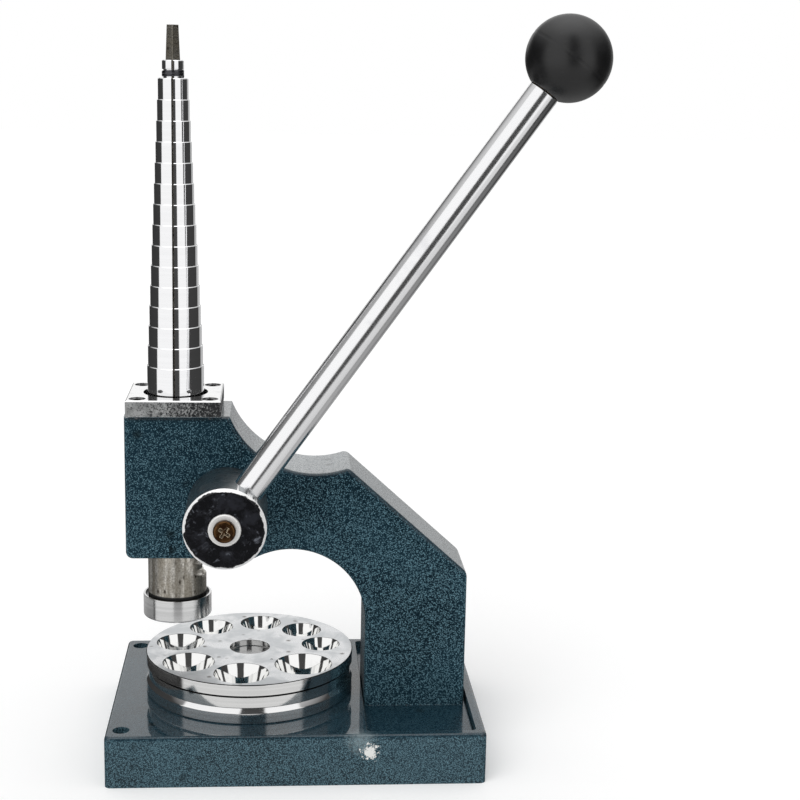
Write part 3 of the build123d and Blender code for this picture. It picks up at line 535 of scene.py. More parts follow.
def rough_ram_steel(name, centre):
    """Oiled and stained shaft steel with streaks along it, dark specks and a painted shadow round its
    foot.
    """
    material, tree = finish_base(name, metallic=1.0, roughness=0.28)
    place = object_place(tree, centre)
    upright = object_place(tree, centre, stretch=(1, 1, 0.12))
    drawn = object_place(tree, centre, stretch=(1, 1, 0.5))
    streaks = stains(tree, upright, 420.0, 0.52)
    patches = stains(tree, place, 110.0, 0.5)
    specks = effect(tree, "pits", drawn, 620.0, 0.2)[0]
    grain = stains(tree, place, 1300.0, 0.5)
    tone = blend(tree, streaks, (0.84, 0.82, 0.77, 1), (0.44, 0.41, 0.36, 1))
    tone = blend(tree, times(tree, patches, 0.5), tone, (0.42, 0.38, 0.31, 1))
    tone = blend(tree, times(tree, grain, 0.55), tone, (0.20, 0.18, 0.15, 1))
    tone = blend(tree, specks, tone, (0.045, 0.035, 0.025, 1))
    # painted shadow: a black, non-metallic band just above the press cap's rim stands for the shade at the
    # ram's foot
    rim = high("press_cap").z
    foot = spread(tree, parts_of(tree, place)[2], rim + 0.0013, rim + 0.0009)
    tone = blend(tree, foot, tone, grey(0.008))
    rough = spread(tree, streaks, 0.0, 1.0, 0.3, 0.5)
    metal = spread(tree, foot, 0.0, 1.0, 1.0, 0.0)
    height = minus(tree, streaks, specks)
    return complete(material, tone, rough, height, 0.00002, 0.3, Metallic=metal)


def ground_die_face(name):
    """Satin face of the die plate, with fine grinding lines, light scuffs and a few pits."""
    material, tree = finish_base(name, metallic=1.0, roughness=0.3)
    place = object_place(tree, die)
    slanted = object_place(tree, die, turn=(0, 0, radians(35)))
    lines = effect(tree, "scratches", slanted, 1100.0, 0.45)
    cloud = stains(tree, place, 75.0, 0.5)
    specks = effect(tree, "pits", place, 300.0, 0.1)[0]
    tone = blend(tree, cloud, (0.78, 0.79, 0.80, 1), (0.63, 0.65, 0.665, 1))
    tone = blend(tree, times(tree, lines["Mask"], 0.35), tone, (0.84, 0.85, 0.85, 1))
    tone = blend(tree, specks, tone, (0.2, 0.19, 0.18, 1))
    rough = spread(tree, cloud, 0.0, 1.0, 0.27, 0.36)
    return complete(material, tone, rough, lines["Height"], 0.000006, 0.3)


def scuffed_black(name):
    """Black painted disc on the hub's face, with dull patches and short scuffs."""
    material, tree = finish_base(
        name, roughness=0.32, coat=0.06, coat_roughness=0.25, specular=0.15
    )
    place = object_place(tree, pinion)
    cloud = stains(tree, place, 170.0, 0.45)
    patch = stains(tree, place, 320.0, 0.38)
    strokes = []
    for slant, scale in ((38, 620.0), (-61, 760.0)):
        slanted = object_place(tree, pinion, turn=(0, radians(slant), 0))
        strokes.append(effect(tree, "scratches", slanted, scale, 0.5)["Mask"])
    scuffs = times(tree, arithmetic(tree, "MAXIMUM", *strokes), patch)
    tone = blend(tree, cloud, (0.0035, 0.0037, 0.005, 1), (0.012, 0.013, 0.018, 1))
    tone = blend(tree, scuffs, tone, (0.26, 0.28, 0.33, 1))
    rough = spread(tree, cloud, 0.0, 1.0, 0.22, 0.5)
    return complete(material, tone, rough, plus(tree, cloud, scuffs), 0.00004, 0.4)


def black_ball(name, colours):
    """Satin black moulded ball with faint swirls and hairline marks."""
    material, tree = finish_base(name, roughness=0.4, specular=0.56)
    place = object_place(tree, knob)
    cloud = stains(tree, place, 60.0, 0.4)
    lines = effect(tree, "scratches", place, 500.0, 0.3)
    ball = tuple(colours.ball)
    tone = blend(tree, cloud, ball, shaded(ball, 1.5))
    tone = blend(tree, times(tree, lines["Mask"], 0.3), tone, grey(0.04))
    rough = spread(tree, cloud, 0.0, 1.0, 0.34, 0.42)
    return complete(material, tone, rough, cloud, 0.00002, 0.15)


def plain_metal(name, colour, stain, roughness, edge=None, edge_width=0.0002):
    """Small fittings: tarnished metal with mottling and worn edges; on the bronzed screw the gold edges
    are a painted highlight.
    """
    material, tree = finish_base(name, metallic=1.0, roughness=roughness)
    place = object_place(tree)
    cloud = stains(tree, place, 420.0, 0.5)
    worn = effect(tree, "edge_wear_and_highlight", place, edge_width, 0.7)[0]
    tone = blend(tree, cloud, colour, stain)
    # the edge colour is wear, but on the bronzed screw its gold is a painted highlight
    tone = blend(tree, times(tree, worn, 0.8), tone, edge or shaded(colour, 1.8))
    rough = spread(tree, cloud, 0.0, 1.0, roughness * 0.8, roughness * 1.4)
    metal = spread(tree, worn, 0.0, 1.0, 1.0, 0.3)
    return complete(material, tone, rough, cloud, 0.00001, 0.25, Metallic=metal)


def make_finish(name, label, colours):
    """Builds the named finish."""
    paint = partial(hammered_paint, label, colours)
    mandrel_steel = partial(turned_steel, label, mandrel, NO_TURN)
    die_steel = partial(turned_steel, label, die, NO_TURN)
    hub_steel = partial(turned_steel, label, pinion, (radians(90), 0, 0))
    flat_steel = partial(ground_flat_steel, label)
    fitting = partial(plain_metal, label)
    makers = {
        "casting_paint": partial(paint, 1650.0, (0.45, 0.375), 0.0, (0.9, 0.06, 0.12)),
        "base_paint": partial(paint, 1950.0, (0.455, 0.455), 0.1, (1.0, 0.3, 0.05), chip_spot()),
        "jaw_steel": partial(mandrel_steel, tuple(colours.steel), 0.06, 0.00022, span=0.97),
        "wedge_steel": partial(
            mandrel_steel, (0.52, 0.49, 0.43, 1), 0.33, 0.0006,
            stain=(0.5, (0.26, 0.235, 0.19, 1)), marks=0.6, pits=0.12,
        ),
        "spring_steel": partial(fitting, (0.10, 0.10, 0.11, 1), (0.05, 0.05, 0.055, 1), 0.3),
        "plate_face": partial(flat_steel, mandrel, grey(0.92), 0.13),
        "plate_edge": partial(stained_edge_steel, label),
        "ram_steel": partial(rough_ram_steel, label, mandrel),
        "cap_steel": partial(
            mandrel_steel, grey(0.76), 0.16, 0.00025,
            stain=(0.3, (0.58, 0.57, 0.55, 1)), marks=0.3, span=0.9,
        ),
        "die_face": partial(ground_die_face, label),
        "die_wall": partial(flat_steel, die, (0.93, 0.93, 0.92, 1), 0.04),
        "die_side": partial(die_steel, (0.90, 0.90, 0.89, 1), 0.09, 0.0002, marks=0.4, span=0.93),
        # painted shade: near-black steel for the die plate's groove and slanted rims
        "die_painted_shade": partial(fitting, grey(0.03), grey(0.015), 0.4, grey(0.06)),
        "seat_bevel": partial(die_steel, grey(0.92), 0.07, 0.0002, marks=0.3, span=0.95),
        "seat_side": partial(die_steel, grey(0.90), 0.08, 0.0002, stain=(0.3, grey(0.80)), marks=0.3),
        "pivot_steel": partial(
            die_steel, grey(0.42), 0.25, 0.0002, stain=(0.35, (0.28, 0.28, 0.27, 1)), marks=0.5
        ),
        # painted reflection: dark grey on the hub's round side for the dark casting it mirrors
        "hub_side_painted_reflection": partial(
            hub_steel, (0.36, 0.38, 0.39, 1), 0.3, 0.0003, stain=(0.4, (0.2, 0.21, 0.22, 1)), marks=0.4
        ),
        "hub_rim": partial(
            hub_steel, grey(0.97), 0.3, 0.0003, marks=0.3, span=0.97, metallic=0.25, spill=disc_radius()
        ),
        "lever_chrome": partial(chromed, label, colours, pinion, (0, lever_tilt(), 0)),
        "face_black": partial(scuffed_black, label),
        "ball_black": partial(black_ball, label, colours),
        "washer_steel": partial(
            hub_steel, (0.97, 0.96, 0.94, 1), 0.34, 0.0003,
            stain=(0.25, (0.6, 0.57, 0.52, 1)), marks=0.5, metallic=0.4,
        ),
        # painted highlight: gold along the head's rim and its cross recess, on a dark bronze head
        "bronzed_screw": partial(
            fitting, (0.11, 0.055, 0.022, 1), (0.035, 0.016, 0.008, 1), 0.3, (1.0, 0.84, 0.60, 1), 0.0005
        ),
        "blackened_screw": partial(fitting, (0.07, 0.07, 0.075, 1), grey(0.03), 0.32),
        "bush_bronze": partial(fitting, (0.60, 0.38, 0.16, 1), (0.36, 0.21, 0.08, 1), 0.26),
        "gear_steel": partial(fitting, grey(0.50), (0.26, 0.25, 0.23, 1), 0.3),
    }
    return makers[name]()


def finish(context, name):
    label = f"{name}_finish"
    return bpy.data.materials.get(label) or make_finish(name, label, context.scene.stretcher_colours)


# Shaping of pieces


def add_object(context, name, data):
    holder = bpy.data.objects.new(name, data)
    context.scene.collection.objects.link(holder)
    return holder


def mesh_of(bm, name):
    """Closes a bmesh and gives its mesh."""
    mesh = bpy.data.meshes.new(name)
    bm.to_mesh(mesh)
    bm.free()
    return mesh


def new_piece(context, bm, name, finishes, body, nodes, smooth=32.0):
    """Turns a bmesh into a finished piece that rides on its body in place of its solids."""
    bmesh.ops.recalc_face_normals(bm, faces=bm.faces)
    mesh = mesh_of(bm, name)
    for finish_name in finishes:
        mesh.materials.append(finish(context, finish_name))
    mesh.polygons.foreach_set("use_smooth", [True] * len(mesh.polygons))
    mesh.set_sharp_from_angle(angle=radians(smooth))
    piece = add_object(context, name, mesh)
    evener = piece.modifiers.new("even_normals", "WEIGHTED_NORMAL")
    evener.keep_sharp = True
    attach(piece, body)
    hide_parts(*nodes)


def spun(outline, centre, axis, steps):
    """Spins an outline of (radius, place along the axis) pairs once round the axis."""
    bm = bmesh.new()
    away = axis.orthogonal().normalized()
    verts = [bm.verts.new(centre + away * radius + axis * place) for radius, place in outline]
    edges = [bm.edges.new(pair) for pair in zip(verts, verts[1:])]
    bmesh.ops.spin(
        bm, geom=verts + edges, cent=centre, axis=axis, dvec=(0, 0, 0),
        angle=2 * pi, steps=steps, use_merge=True,
    )
    bmesh.ops.remove_doubles(bm, verts=bm.verts, dist=1e-7)
    return bm


def ease_edges(bm, width):
    """Takes the sharpness off hard edges."""
    hard = radians(30)
    sharp = [edge for edge in bm.edges if edge.is_manifold and edge.calc_face_angle() > hard]
    bmesh.ops.bevel(
        bm, geom=sharp, offset=width, affect="EDGES", segments=2,
        profile=0.5, material=-1, clamp_overlap=True,
    )


def solid_copy(node):
    """The solid's own shape, its facets joined up."""
    bm = bmesh.new()
    bm.from_mesh(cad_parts[node].data)
    bmesh.ops.remove_doubles(bm, verts=bm.verts, dist=1e-6)
    bmesh.ops.dissolve_limit(bm, angle_limit=radians(0.3), verts=bm.verts, edges=bm.edges)
    return bm


def eased_piece(context, node, name, finish_name, body, width):
    """Makes a piece in the solid's own shape, with its hard edges eased."""
    bm = solid_copy(node)
    ease_edges(bm, width)
    new_piece(context, bm, name, [finish_name], body, [node])


def dress_nodes(context, finish_name, *nodes):
    """Gives solids of the frame their finish."""
    for node in nodes:
        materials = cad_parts[node].data.materials
        materials.clear()
        materials.append(finish(context, finish_name))


def centre_of(verts):
    return sum((vert.co for vert in verts), Vector()) / len(verts)


# Operators, one for each group of pieces


class STRETCHER_OT_castings(bpy.types.Operator):
    """Paint the base, the C-shaped frame and the rear cover"""

    bl_idname = "stretcher.castings"
    bl_label = "Painted castings"

    def execute(self, context):
        dress_nodes(context, "base_paint", "base_plate")
        dress_nodes(context, "casting_paint", "frame_casting", "rear_cover")
        return {"FINISHED"}


class STRETCHER_OT_jaws(bpy.types.Operator):
    """Turn the stepped mandrel and saw it into its four jaws"""

    bl_idname = "stretcher.jaws"
    bl_label = "Expanding jaws"

    nose = 0.0037
    nose_radius = 0.00443
    groove = 0.0035
    groove_radius = 0.00388
    flange_height = 0.003
    turning_steps = 160
    wedge_gap = 0.00005
    # how far the wedge rod's sharp corners would stand past its eased ones
    wedge_corner = 0.000177

    def outline(self, sizes):
        jaw_low, jaw_high = low("jaw_front_left"), high("jaw_front_left")
        flange = mandrel.x - jaw_low.x
        groove_top = jaw_high.z - self.nose
        top = groove_top - self.groove - sizes.step_height * (sizes.size_count - 1)
        rim = sizes.step_chamfer
        outline = [(0, jaw_low.z), (flange - rim, jaw_low.z), (flange, jaw_low.z + rim)]
        outline.append((flange, jaw_low.z + self.flange_height))
        for size in reversed(range(sizes.size_count)):
            radius = sizes.size_one_radius + sizes.size_gain * size
            bottom = outline[-1][1]
            outline += [(radius, bottom), (radius, top - rim), (radius - rim, top)]
            top += sizes.step_height
        outline += [(self.groove_radius, outline[-1][1]), (self.groove_radius, groove_top)]
        outline += [(self.nose_radius - rim / 2, groove_top), (self.nose_radius, groove_top + rim / 2)]
        outline += [(self.nose_radius, jaw_high.z - rim), (self.nose_radius - rim, jaw_high.z)]
        outline.append((0, jaw_high.z))
        return outline

    def wedge_half_side(self, tip):
        """Half the width of the wedge rod at its tip."""
        corners = [vert.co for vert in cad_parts["wedge_rod"].data.vertices if vert.co.z > tip - 1e-5]
        reach = max(abs(co.x - mandrel.x) for co in corners)
        return (reach + self.wedge_corner) / 2**0.5

    def execute(self, context):
        sizes = context.scene.stretcher_sizes
        outline = self.outline(sizes)
        wedge_tip = high("wedge_rod").z
        wedge_side = self.wedge_half_side(wedge_tip) + self.wedge_gap
        jaws = (("rear_right", 1, 1), ("rear_left", -1, 1), ("front_left", -1, -1), ("front_right", 1, -1))
        for place, side_x, side_y in jaws:
            bm = spun(outline, mandrel, UP, self.turning_steps)
            bmesh.ops.recalc_face_normals(bm, faces=bm.faces)
            diagonal = Vector((side_x, side_y, 0)).normalized()
            slope = Vector((diagonal.x, diagonal.y, sizes.wedge_slope)).normalized()
            cuts = (
                (mandrel + Vector((side_x * sizes.kerf / 2, 0, 0)), Vector((side_x, 0, 0))),
                (mandrel + Vector((0, side_y * sizes.kerf / 2, 0)), Vector((0, side_y, 0))),
                (mandrel + UP * wedge_tip + diagonal * wedge_side, slope),
            )
            for point, normal in cuts:
                everything = bm.verts[:] + bm.edges[:] + bm.faces[:]
                cut = bmesh.ops.bisect_plane(
                    bm, geom=everything, dist=1e-8, plane_co=point, plane_no=normal, clear_inner=True
                )
                rim = [item for item in cut["geom_cut"] if isinstance(item, bmesh.types.BMEdge)]
                bmesh.ops.contextual_create(bm, geom=rim)
            node = f"jaw_{place}"
            new_piece(context, bm, f"{node}_turned", ["jaw_steel"], node, [node])
        return {"FINISHED"}


class STRETCHER_OT_wedge(bpy.types.Operator):
    """Grind the square wedge rod and wind the spring ring"""

    bl_idname = "stretcher.wedge"
    bl_label = "Wedge rod and spring ring"

    coil_gap = 0.15
    wire_flatness = 0.46
    wire_sides = 14
    steps_per_turn = 72

    def execute(self, context):
        dress_nodes(context, "wedge_steel", "wedge_rod")
        dress_nodes(context, "gear_steel", "wedge_pin")
        self.wind_ring(context, context.scene.stretcher_sizes.spring_turns)
        return {"FINISHED"}

    def wind_ring(self, context, turns):
        """Winds flattened wire round the jaws."""
        ring_low, ring_high = low("jaw_ring"), high("jaw_ring")
        height = ring_high.z - ring_low.z
        outer = (ring_high.x - ring_low.x) / 2
        wire = height / (2 * (turns + self.coil_gap))
        bm = bmesh.new()
        spot = mandrel + Vector((outer - wire, 0, ring_low.z + wire))
        start = Matrix.Translation(spot) @ Matrix.Rotation(pi / 2, 4, "X")
        disc = bmesh.ops.create_circle(
            bm, cap_ends=False, segments=self.wire_sides, radius=wire, matrix=start
        )["verts"]
        loop = disc + bm.edges[:]
        flat = (self.wire_flatness, 1, 1)
        bmesh.ops.scale(bm, vec=flat, space=Matrix.Translation(-centre_of(disc)), verts=disc)
        steps = self.steps_per_turn * turns
        rise = (height - 2 * wire) / steps
        bmesh.ops.spin(
            bm, geom=loop, cent=mandrel, axis=UP, dvec=(0, 0, rise), angle=2 * pi * turns, steps=steps
        )
        bmesh.ops.holes_fill(bm, edges=[edge for edge in bm.edges if edge.is_boundary])
        new_piece(context, bm, "jaw_ring_spring", ["spring_steel"], "frame", ["jaw_ring"])


class STRETCHER_OT_top_plate(bpy.types.Operator):
    """Finish the square top plate and its socket screws"""

    bl_idname = "stretcher.top_plate"
    bl_label = "Top plate"

    def execute(self, context):
        bm = solid_copy("top_plate")
        ease_edges(bm, context.scene.stretcher_sizes.edge_ease)
        outside = (high("top_plate").x - mandrel.x) * 0.99
        for face in bm.faces:
            reach = face.calc_center_median() - mandrel
            upright = abs(face.normal.z) < 0.1
            face.material_index = int(upright and max(abs(reach.x), abs(reach.y)) > outside)
        finishes = ["plate_face", "plate_edge"]
        new_piece(context, bm, "top_plate_ground", finishes, "frame", ["top_plate"])
        dress_nodes(context, "blackened_screw", "top_plate_screws")
        return {"FINISHED"}


class STRETCHER_OT_ram(bpy.types.Operator):
    """Finish the ram with its rack and turn the press cap"""

    bl_idname = "stretcher.ram"
    bl_label = "Ram and press cap"

    def execute(self, context):
        width = context.scene.stretcher_sizes.edge_ease * 1.5
        dress_nodes(context, "ram_steel", "ram")
        dress_nodes(context, "blackened_screw", "press_cap_screw")
        eased_piece(context, "press_cap", "press_cap_turned", "cap_steel", "ram", width)
        return {"FINISHED"}


class STRETCHER_OT_lever(bpy.types.Operator):
    """Finish the hub and its face, the lever rod and the ball"""

    bl_idname = "stretcher.lever"
    bl_label = "Lever, hub and ball"

    socket_radius = 0.006
    socket_depth = 0.0135
    flat_depth = 0.00135
    flat_ease = 0.0002
    arc_steps = 96
    turning_steps = 128

    def execute(self, context):
        sizes = context.scene.stretcher_sizes
        for node, finish_name, slot, width in (
            ("lever_rod", "lever_chrome", "chromed_steel", sizes.edge_ease),
            ("hub_washer", "washer_steel", "plate_steel", sizes.edge_ease / 2),
            ("hub_screw", "bronzed_screw", "bronzed_screw", sizes.edge_ease / 2),
            ("hub_face", "face_black", "black_disc", sizes.edge_ease),
        ):
            eased_piece(context, node, f"{node}_finished", finish_name, "lever", width)
        self.turn_hub(context, sizes)
        self.make_ball(context, sizes)
        dress_nodes(context, "bush_bronze", "knob_insert")
        return {"FINISHED"}

    def turn_hub(self, context, sizes):
        """The hub's round side is painted darker than its rims and faces, as a painted reflection of the
        dark casting.
        """
        bm = solid_copy("lever_hub")
        ease_edges(bm, sizes.edge_ease * 1.5)
        front, rear = low("lever_hub").y, high("lever_hub").y
        rim = (rear - front) * 0.12
        for face in bm.faces:
            spot = face.calc_center_median()
            reach = Vector((spot.x - pinion.x, 0, spot.z - pinion.z))
            outward = abs(face.normal.dot(reach.normalized())) > 0.97
            face.material_index = int(outward and front + rim < spot.y < rear - rim / 4)
        finishes = ["hub_rim", "hub_side_painted_reflection"]
        new_piece(context, bm, "lever_hub_turned", finishes, "lever", ["lever_hub"])

    def make_ball(self, context, sizes):
        """Turns the ball about the lever's line, with its flat, its socket and its moulding line."""
        line = Vector((cos(-lever_tilt()), 0, sin(-lever_tilt())))
        radius = (high("ball_knob").y - low("ball_knob").y) / 2
        centre = pinion + line * (knob - pinion).dot(line)
        centre.y = knob.y
        flat = -radius + self.flat_depth
        flat_radius = (radius**2 - flat**2) ** 0.5
        socket_end = flat + self.socket_depth
        outline = [(0, socket_end), (self.socket_radius, socket_end), (self.socket_radius, flat)]
        outline.append((flat_radius - self.flat_ease, flat))
        for step in range(self.arc_steps + 1):
            turn = pi * step / self.arc_steps
            place = -radius * cos(turn)
            if place >= flat:
                outline.append((radius * sin(turn), place))
        outline[-1] = (0, radius)
        bm = spun(outline, centre, line, self.turning_steps)
        for vert in bm.verts:
            if abs((vert.co - centre).dot(line)) < 1e-6:
                vert.co -= (vert.co - centre).normalized() * sizes.parting_line
        finishes = ["ball_black"]
        new_piece(
            context, bm, "ball_knob_moulded", finishes, "lever", ["ball_knob"], smooth=50
        )


class STRETCHER_OT_die_plate(bpy.types.Operator):
    """Finish the die plate, its tapered holes, the seat and the pivot"""

    bl_idname = "stretcher.die_plate"
    bl_label = "Die plate and seat"

    # how far in from the plate's rim the floor of its groove lies, from and to, and its side ends
    groove_floor_from = 0.0018
    groove_floor_to = 0.003
    side_depth = 0.002

    def execute(self, context):
        sizes = context.scene.stretcher_sizes
        self.grind_plate(context, sizes)
        self.turn_seat(context, sizes)
        eased_piece(
            context, "die_pivot", "die_pivot_turned", "pivot_steel", "frame", sizes.edge_ease
        )
        dress_nodes(context, "blackened_screw", "die_seat_screws", "die_pivot_screw", "frame_bolts")
        return {"FINISHED"}

    def grind_plate(self, context, sizes):
        """Parts the plate into its faces, the walls of its holes, its side, and its groove and slanted
        rims, which get painted shade.
        """
        bm = solid_copy("die_plate")
        ease_edges(bm, sizes.edge_ease * 1.8)
        on_face, on_wall, on_side, on_painted_shade = range(4)
        rim = (high("die_plate").x - low("die_plate").x) / 2
        bottom, top = low("die_plate").z, high("die_plate").z
        inside = (top - bottom) * 0.1
        for face in bm.faces:
            face.normal_update()
            spot = face.calc_center_median()
            out = (spot - die).xy.length
            depth = min(spot.z - bottom, top - spot.z)
            lying = abs(face.normal.z)
            groove_floor = rim - self.groove_floor_to < out < rim - self.groove_floor_from
            # painted shade: the groove's floor and walls are painted black
            if depth > inside and (groove_floor or lying > 0.5):
                face.material_index = on_painted_shade
            elif lying > 0.97:
                face.material_index = on_face
            # painted shade: the slanted rims of the holes and of the eased edges are painted black
            elif lying > 0.35:
                face.material_index = on_painted_shade
            else:
                face.material_index = on_side if out > rim - self.side_depth else on_wall
        finishes = ["die_face", "die_wall", "die_side", "die_painted_shade"]
        new_piece(context, bm, "die_plate_ground", finishes, "die_plate", ["die_plate"])

    def turn_seat(self, context, sizes):
        """The seat gets a bright bevel and a shadow line round its foot."""
        foot = low("die_seat").z
        radius = high("die_seat").x - die.x
        bm = solid_copy("die_seat")
        lowest = [edge for edge in bm.edges if all(vert.co.z < foot + 1e-5 for vert in edge.verts)]
        outer = [
            edge for edge in lowest
            if all(abs((vert.co - die).xy.length - radius) < 2e-5 for vert in edge.verts)
        ]
        bmesh.ops.bevel(
            bm, geom=outer, offset=sizes.shadow_line, affect="EDGES", segments=1, profile=0.5, material=-1
        )
        ease_edges(bm, sizes.edge_ease)
        for face in bm.faces:
            spot = face.calc_center_median() - die
            upright = abs(face.normal.z) < 0.2
            face.material_index = int(upright and spot.xy.length > radius * 0.98)
        finishes = ["seat_bevel", "seat_side"]
        new_piece(context, bm, "die_seat_turned", finishes, "frame", ["die_seat"])


class STRETCHER_OT_gear_train(bpy.types.Operator):
    """Finish the pinion, its shaft and keys, the bushes and the cover's screws"""

    bl_idname = "stretcher.gear_train"
    bl_label = "Gear train"

    def execute(self, context):
        dress_nodes(context, "gear_steel", "pinion", "pinion_shaft", "pinion_key", "hub_key")
        dress_nodes(context, "bush_bronze", "front_bush", "rear_bush")
        dress_nodes(context, "blackened_screw", "rear_cover_screws")
        return {"FINISHED"}


class STRETCHER_OT_stage(bpy.types.Operator):
    """Lay the floor, hang the lamp and set the camera"""

    bl_idname = "stretcher.stage"
    bl_label = "Studio"

    # greys that polished metal sees round it, as (degrees from the front, grey)
    flags = (
        (-180, 0.5), (-170, 0.45), (-166, 0.035), (-80, 0.045), (-77, 1.0),
        (60, 1.0), (63, 0.05), (132, 0.045), (138, 0.5), (180, 0.5),
    )
    # and those that it sees in a low band, near the floor
    low_flags = (
        (-180, 0.6), (-87, 0.6), (-85, 0.05), (-79, 0.05), (-77, 1.0), (74, 1.0), (76, 0.05),
        (92, 0.05), (95, 0.2), (120, 0.2), (122, 0.05), (135, 0.05), (138, 0.5), (180, 0.5),
    )
    narrow_flag_bearing = 4.5
    floor_size = 6.0
    lamp_direction = Vector((0.45, 0.75, -1.0))
    camera_place = (-0.008668, -0.673284, 0.291459)
    camera_yaw = radians(4.457)
    camera_pitch = radians(11.807)
    camera_roll = radians(1.152)
    camera_lens = 72.44

    def execute(self, context):
        self.lay_floor(context)
        self.light_sky(context)
        self.hang_lamp(context)
        self.set_camera(context)
        context.scene.view_settings.view_transform = "Standard"
        return {"FINISHED"}

    def lay_floor(self, context):
        bm = bmesh.new()
        bmesh.ops.create_grid(bm, x_segments=1, y_segments=1, size=self.floor_size)
        floor = add_object(context, "floor", mesh_of(bm, "floor"))
        floor.data.materials.append(self.floor_white())
        floor.visible_glossy = False

    def floor_white(self):
        """White that the camera sees a little brighter than the light on it."""
        material, tree = finish_base("floor_white", roughness=0.9, colour=grey(0.92), specular=0.0)
        seen = add_node(tree, "LightPath").outputs["Is Camera Ray"]
        lift = add_node(tree, "Emission", {"Color": WHITE, "Strength": 0.14}).outputs[0]
        principled = tree.nodes["Principled BSDF"].outputs[0]
        lifted = add_node(tree, "AddShader", {0: principled, 1: lift}).outputs[0]
        surface = mixed_shader(tree, seen, principled, lifted)
        tree.links.new(surface, tree.nodes["Material Output"].inputs[0])
        return material

    def light_sky(self, context):
        """White surroundings; polished metal also sees the dark flags between the soft boxes."""
        world = bpy.data.worlds.new("studio")
        context.scene.world = world
        world.use_nodes = True
        tree = world.node_tree
        tree.nodes.clear()
        mirrored = add_node(tree, "Background", {"Color": self.seen_by_metal(tree), "Strength": 1.0})
        open_sky = add_node(tree, "Background", {"Color": WHITE, "Strength": 0.72})
        plain = add_node(tree, "Background", {"Color": WHITE, "Strength": 1.0})
        rays = add_node(tree, "LightPath").outputs
        lit = mixed_shader(tree, rays["Is Glossy Ray"], open_sky.outputs[0], mirrored.outputs[0])
        shown = mixed_shader(tree, rays["Is Camera Ray"], lit, plain.outputs[0])
        add_node(tree, "OutputWorld", {0: shown})

    def seen_by_metal(self, tree):
        """Dark flags, the table below and the open top and back, by bearing and height."""
        across, ahead, height = parts_of(tree, add_node(tree, "TexCoord").outputs["Generated"])
        turn = arithmetic(tree, "ARCTAN2", across, times(tree, ahead, -1.0))
        bearing = arithmetic(tree, "MULTIPLY_ADD", turn, 0.5 / pi, 0.5)
        at_height = partial(spread, tree, height)
        low_band = times(tree, at_height(-0.245, -0.28), at_height(-0.352, -0.335))
        flags = self.greys_by_bearing(tree, bearing, self.flags)
        flags = blend(tree, low_band, flags, self.greys_by_bearing(tree, bearing, self.low_flags))
        seen = blend(tree, 1.0, flags, at_height(-0.28, -0.34, 1.0, 0.7), mode="MULTIPLY")
        open_back = times(tree, at_height(0.02, 0.16), spread(tree, ahead, 0.84, 0.92))
        overhead = arithmetic(tree, "MAXIMUM", at_height(0.35, 0.8), open_back)
        seen = blend(tree, overhead, seen, WHITE)
        seen = blend(tree, at_height(0.8, 0.95), seen, grey(1.6))
        aside = arithmetic(tree, "ABSOLUTE", minus(tree, bearing, 0.5 + self.narrow_flag_bearing / 360))
        narrow = times(tree, spread(tree, aside, 16 / 360, 13 / 360), at_height(-0.35, -0.29))
        seen = blend(tree, times(tree, narrow, at_height(0.93, 0.85)), seen, grey(0.06))
        return blend(tree, at_height(-0.5, -0.8), seen, grey(0.6))

    def greys_by_bearing(self, tree, bearing, stops):
        """A row of greys round the horizon, given as (degrees from the front, grey)."""
        ramp_node = add_node(tree, "ValToRGB", {0: bearing})
        ramp = ramp_node.color_ramp
        while len(ramp.elements) < len(stops):
            ramp.elements.new(0.5)
        for element, (angle, level) in zip(ramp.elements, stops):
            element.position = angle / 360 + 0.5
            element.color = grey(level)
        return ramp_node.outputs[0]

    def hang_lamp(self, context):
        """One broad soft lamp, high on the left in front."""
        lamp = bpy.data.lights.new("soft_key", "SUN")
        lamp.angle = radians(50)
        lamp.energy = 1.1
        holder = add_object(context, "soft_key", lamp)
        holder.rotation_euler = self.lamp_direction.to_track_quat("-Z", "Y").to_euler()
        holder.visible_glossy = False

    def set_camera(self, context):
        yaw, pitch, roll = self.camera_yaw, self.camera_pitch, self.camera_roll
        ahead = Vector((sin(yaw) * cos(pitch), cos(yaw) * cos(pitch), -sin(pitch)))
        level_right = Vector((cos(yaw), -sin(yaw), 0))
        level_up = level_right.cross(ahead)
        right = level_right * cos(roll) + level_up * sin(roll)
        up = level_up * cos(roll) - level_right * sin(roll)
        camera = bpy.data.cameras.new("camera")
        camera.sensor_width = 36.0
        camera.lens = self.camera_lens
        camera.clip_end = 50.0
        holder = add_object(context, "camera", camera)
        turn = Matrix((right, up, -ahead)).transposed().to_4x4()
        holder.matrix_world = Matrix.Translation(self.camera_place) @ turn
        context.scene.camera = holder


class STRETCHER_PT_panel(bpy.types.Panel):
    """Lists the groups of pieces in the 3D view's sidebar"""

    bl_idname = "STRETCHER_PT_panel"
    bl_label = "Ring Stretcher"
    bl_space_type = "VIEW_3D"
    bl_region_type = "UI"
    bl_category = "Ring Stretcher"

    def draw(self, context):
        for operator in OPERATORS:
            self.layout.operator(operator.bl_idname)
        for group in (context.scene.stretcher_sizes, context.scene.stretcher_colours):
            for name in group.bl_rna.properties.keys():
                if name not in ("rna_type", "name"):
                    self.layout.prop(group, name)


OPERATORS = (
    STRETCHER_OT_castings,
    STRETCHER_OT_jaws,
    STRETCHER_OT_wedge,
    STRETCHER_OT_top_plate,
    STRETCHER_OT_ram,
    STRETCHER_OT_lever,
    STRETCHER_OT_die_plate,
    STRETCHER_OT_gear_train,
    STRETCHER_OT_stage,
)
CLASSES = (StretcherSizes, StretcherColours) + OPERATORS + (STRETCHER_PT_panel,)


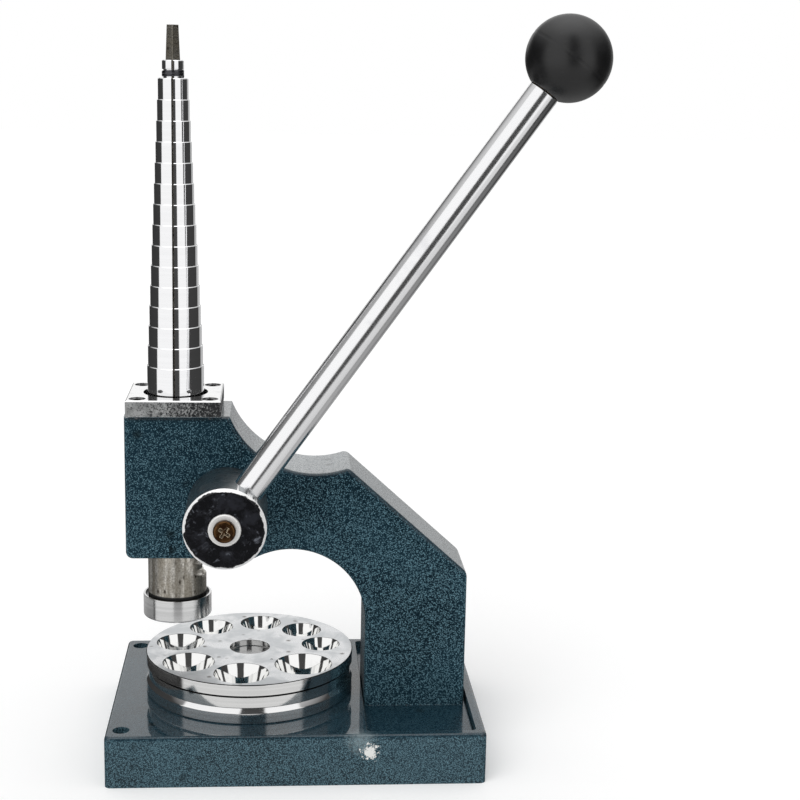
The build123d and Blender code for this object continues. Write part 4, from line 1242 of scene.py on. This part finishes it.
def register():
    for item in CLASSES:
        bpy.utils.register_class(item)
    bpy.types.Scene.stretcher_sizes = PointerProperty(type=StretcherSizes)
    bpy.types.Scene.stretcher_colours = PointerProperty(type=StretcherColours)


def unregister():
    del bpy.types.Scene.stretcher_colours
    del bpy.types.Scene.stretcher_sizes
    for item in reversed(CLASSES):
        bpy.utils.unregister_class(item)


def main():
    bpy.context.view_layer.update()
    register()
    bpy.ops.stretcher.castings()
    bpy.ops.stretcher.jaws()
    bpy.ops.stretcher.wedge()
    bpy.ops.stretcher.top_plate()
    bpy.ops.stretcher.ram()
    bpy.ops.stretcher.lever()
    bpy.ops.stretcher.die_plate()
    bpy.ops.stretcher.gear_train()
    bpy.ops.stretcher.stage()


if __name__ == "__main__":
    main()
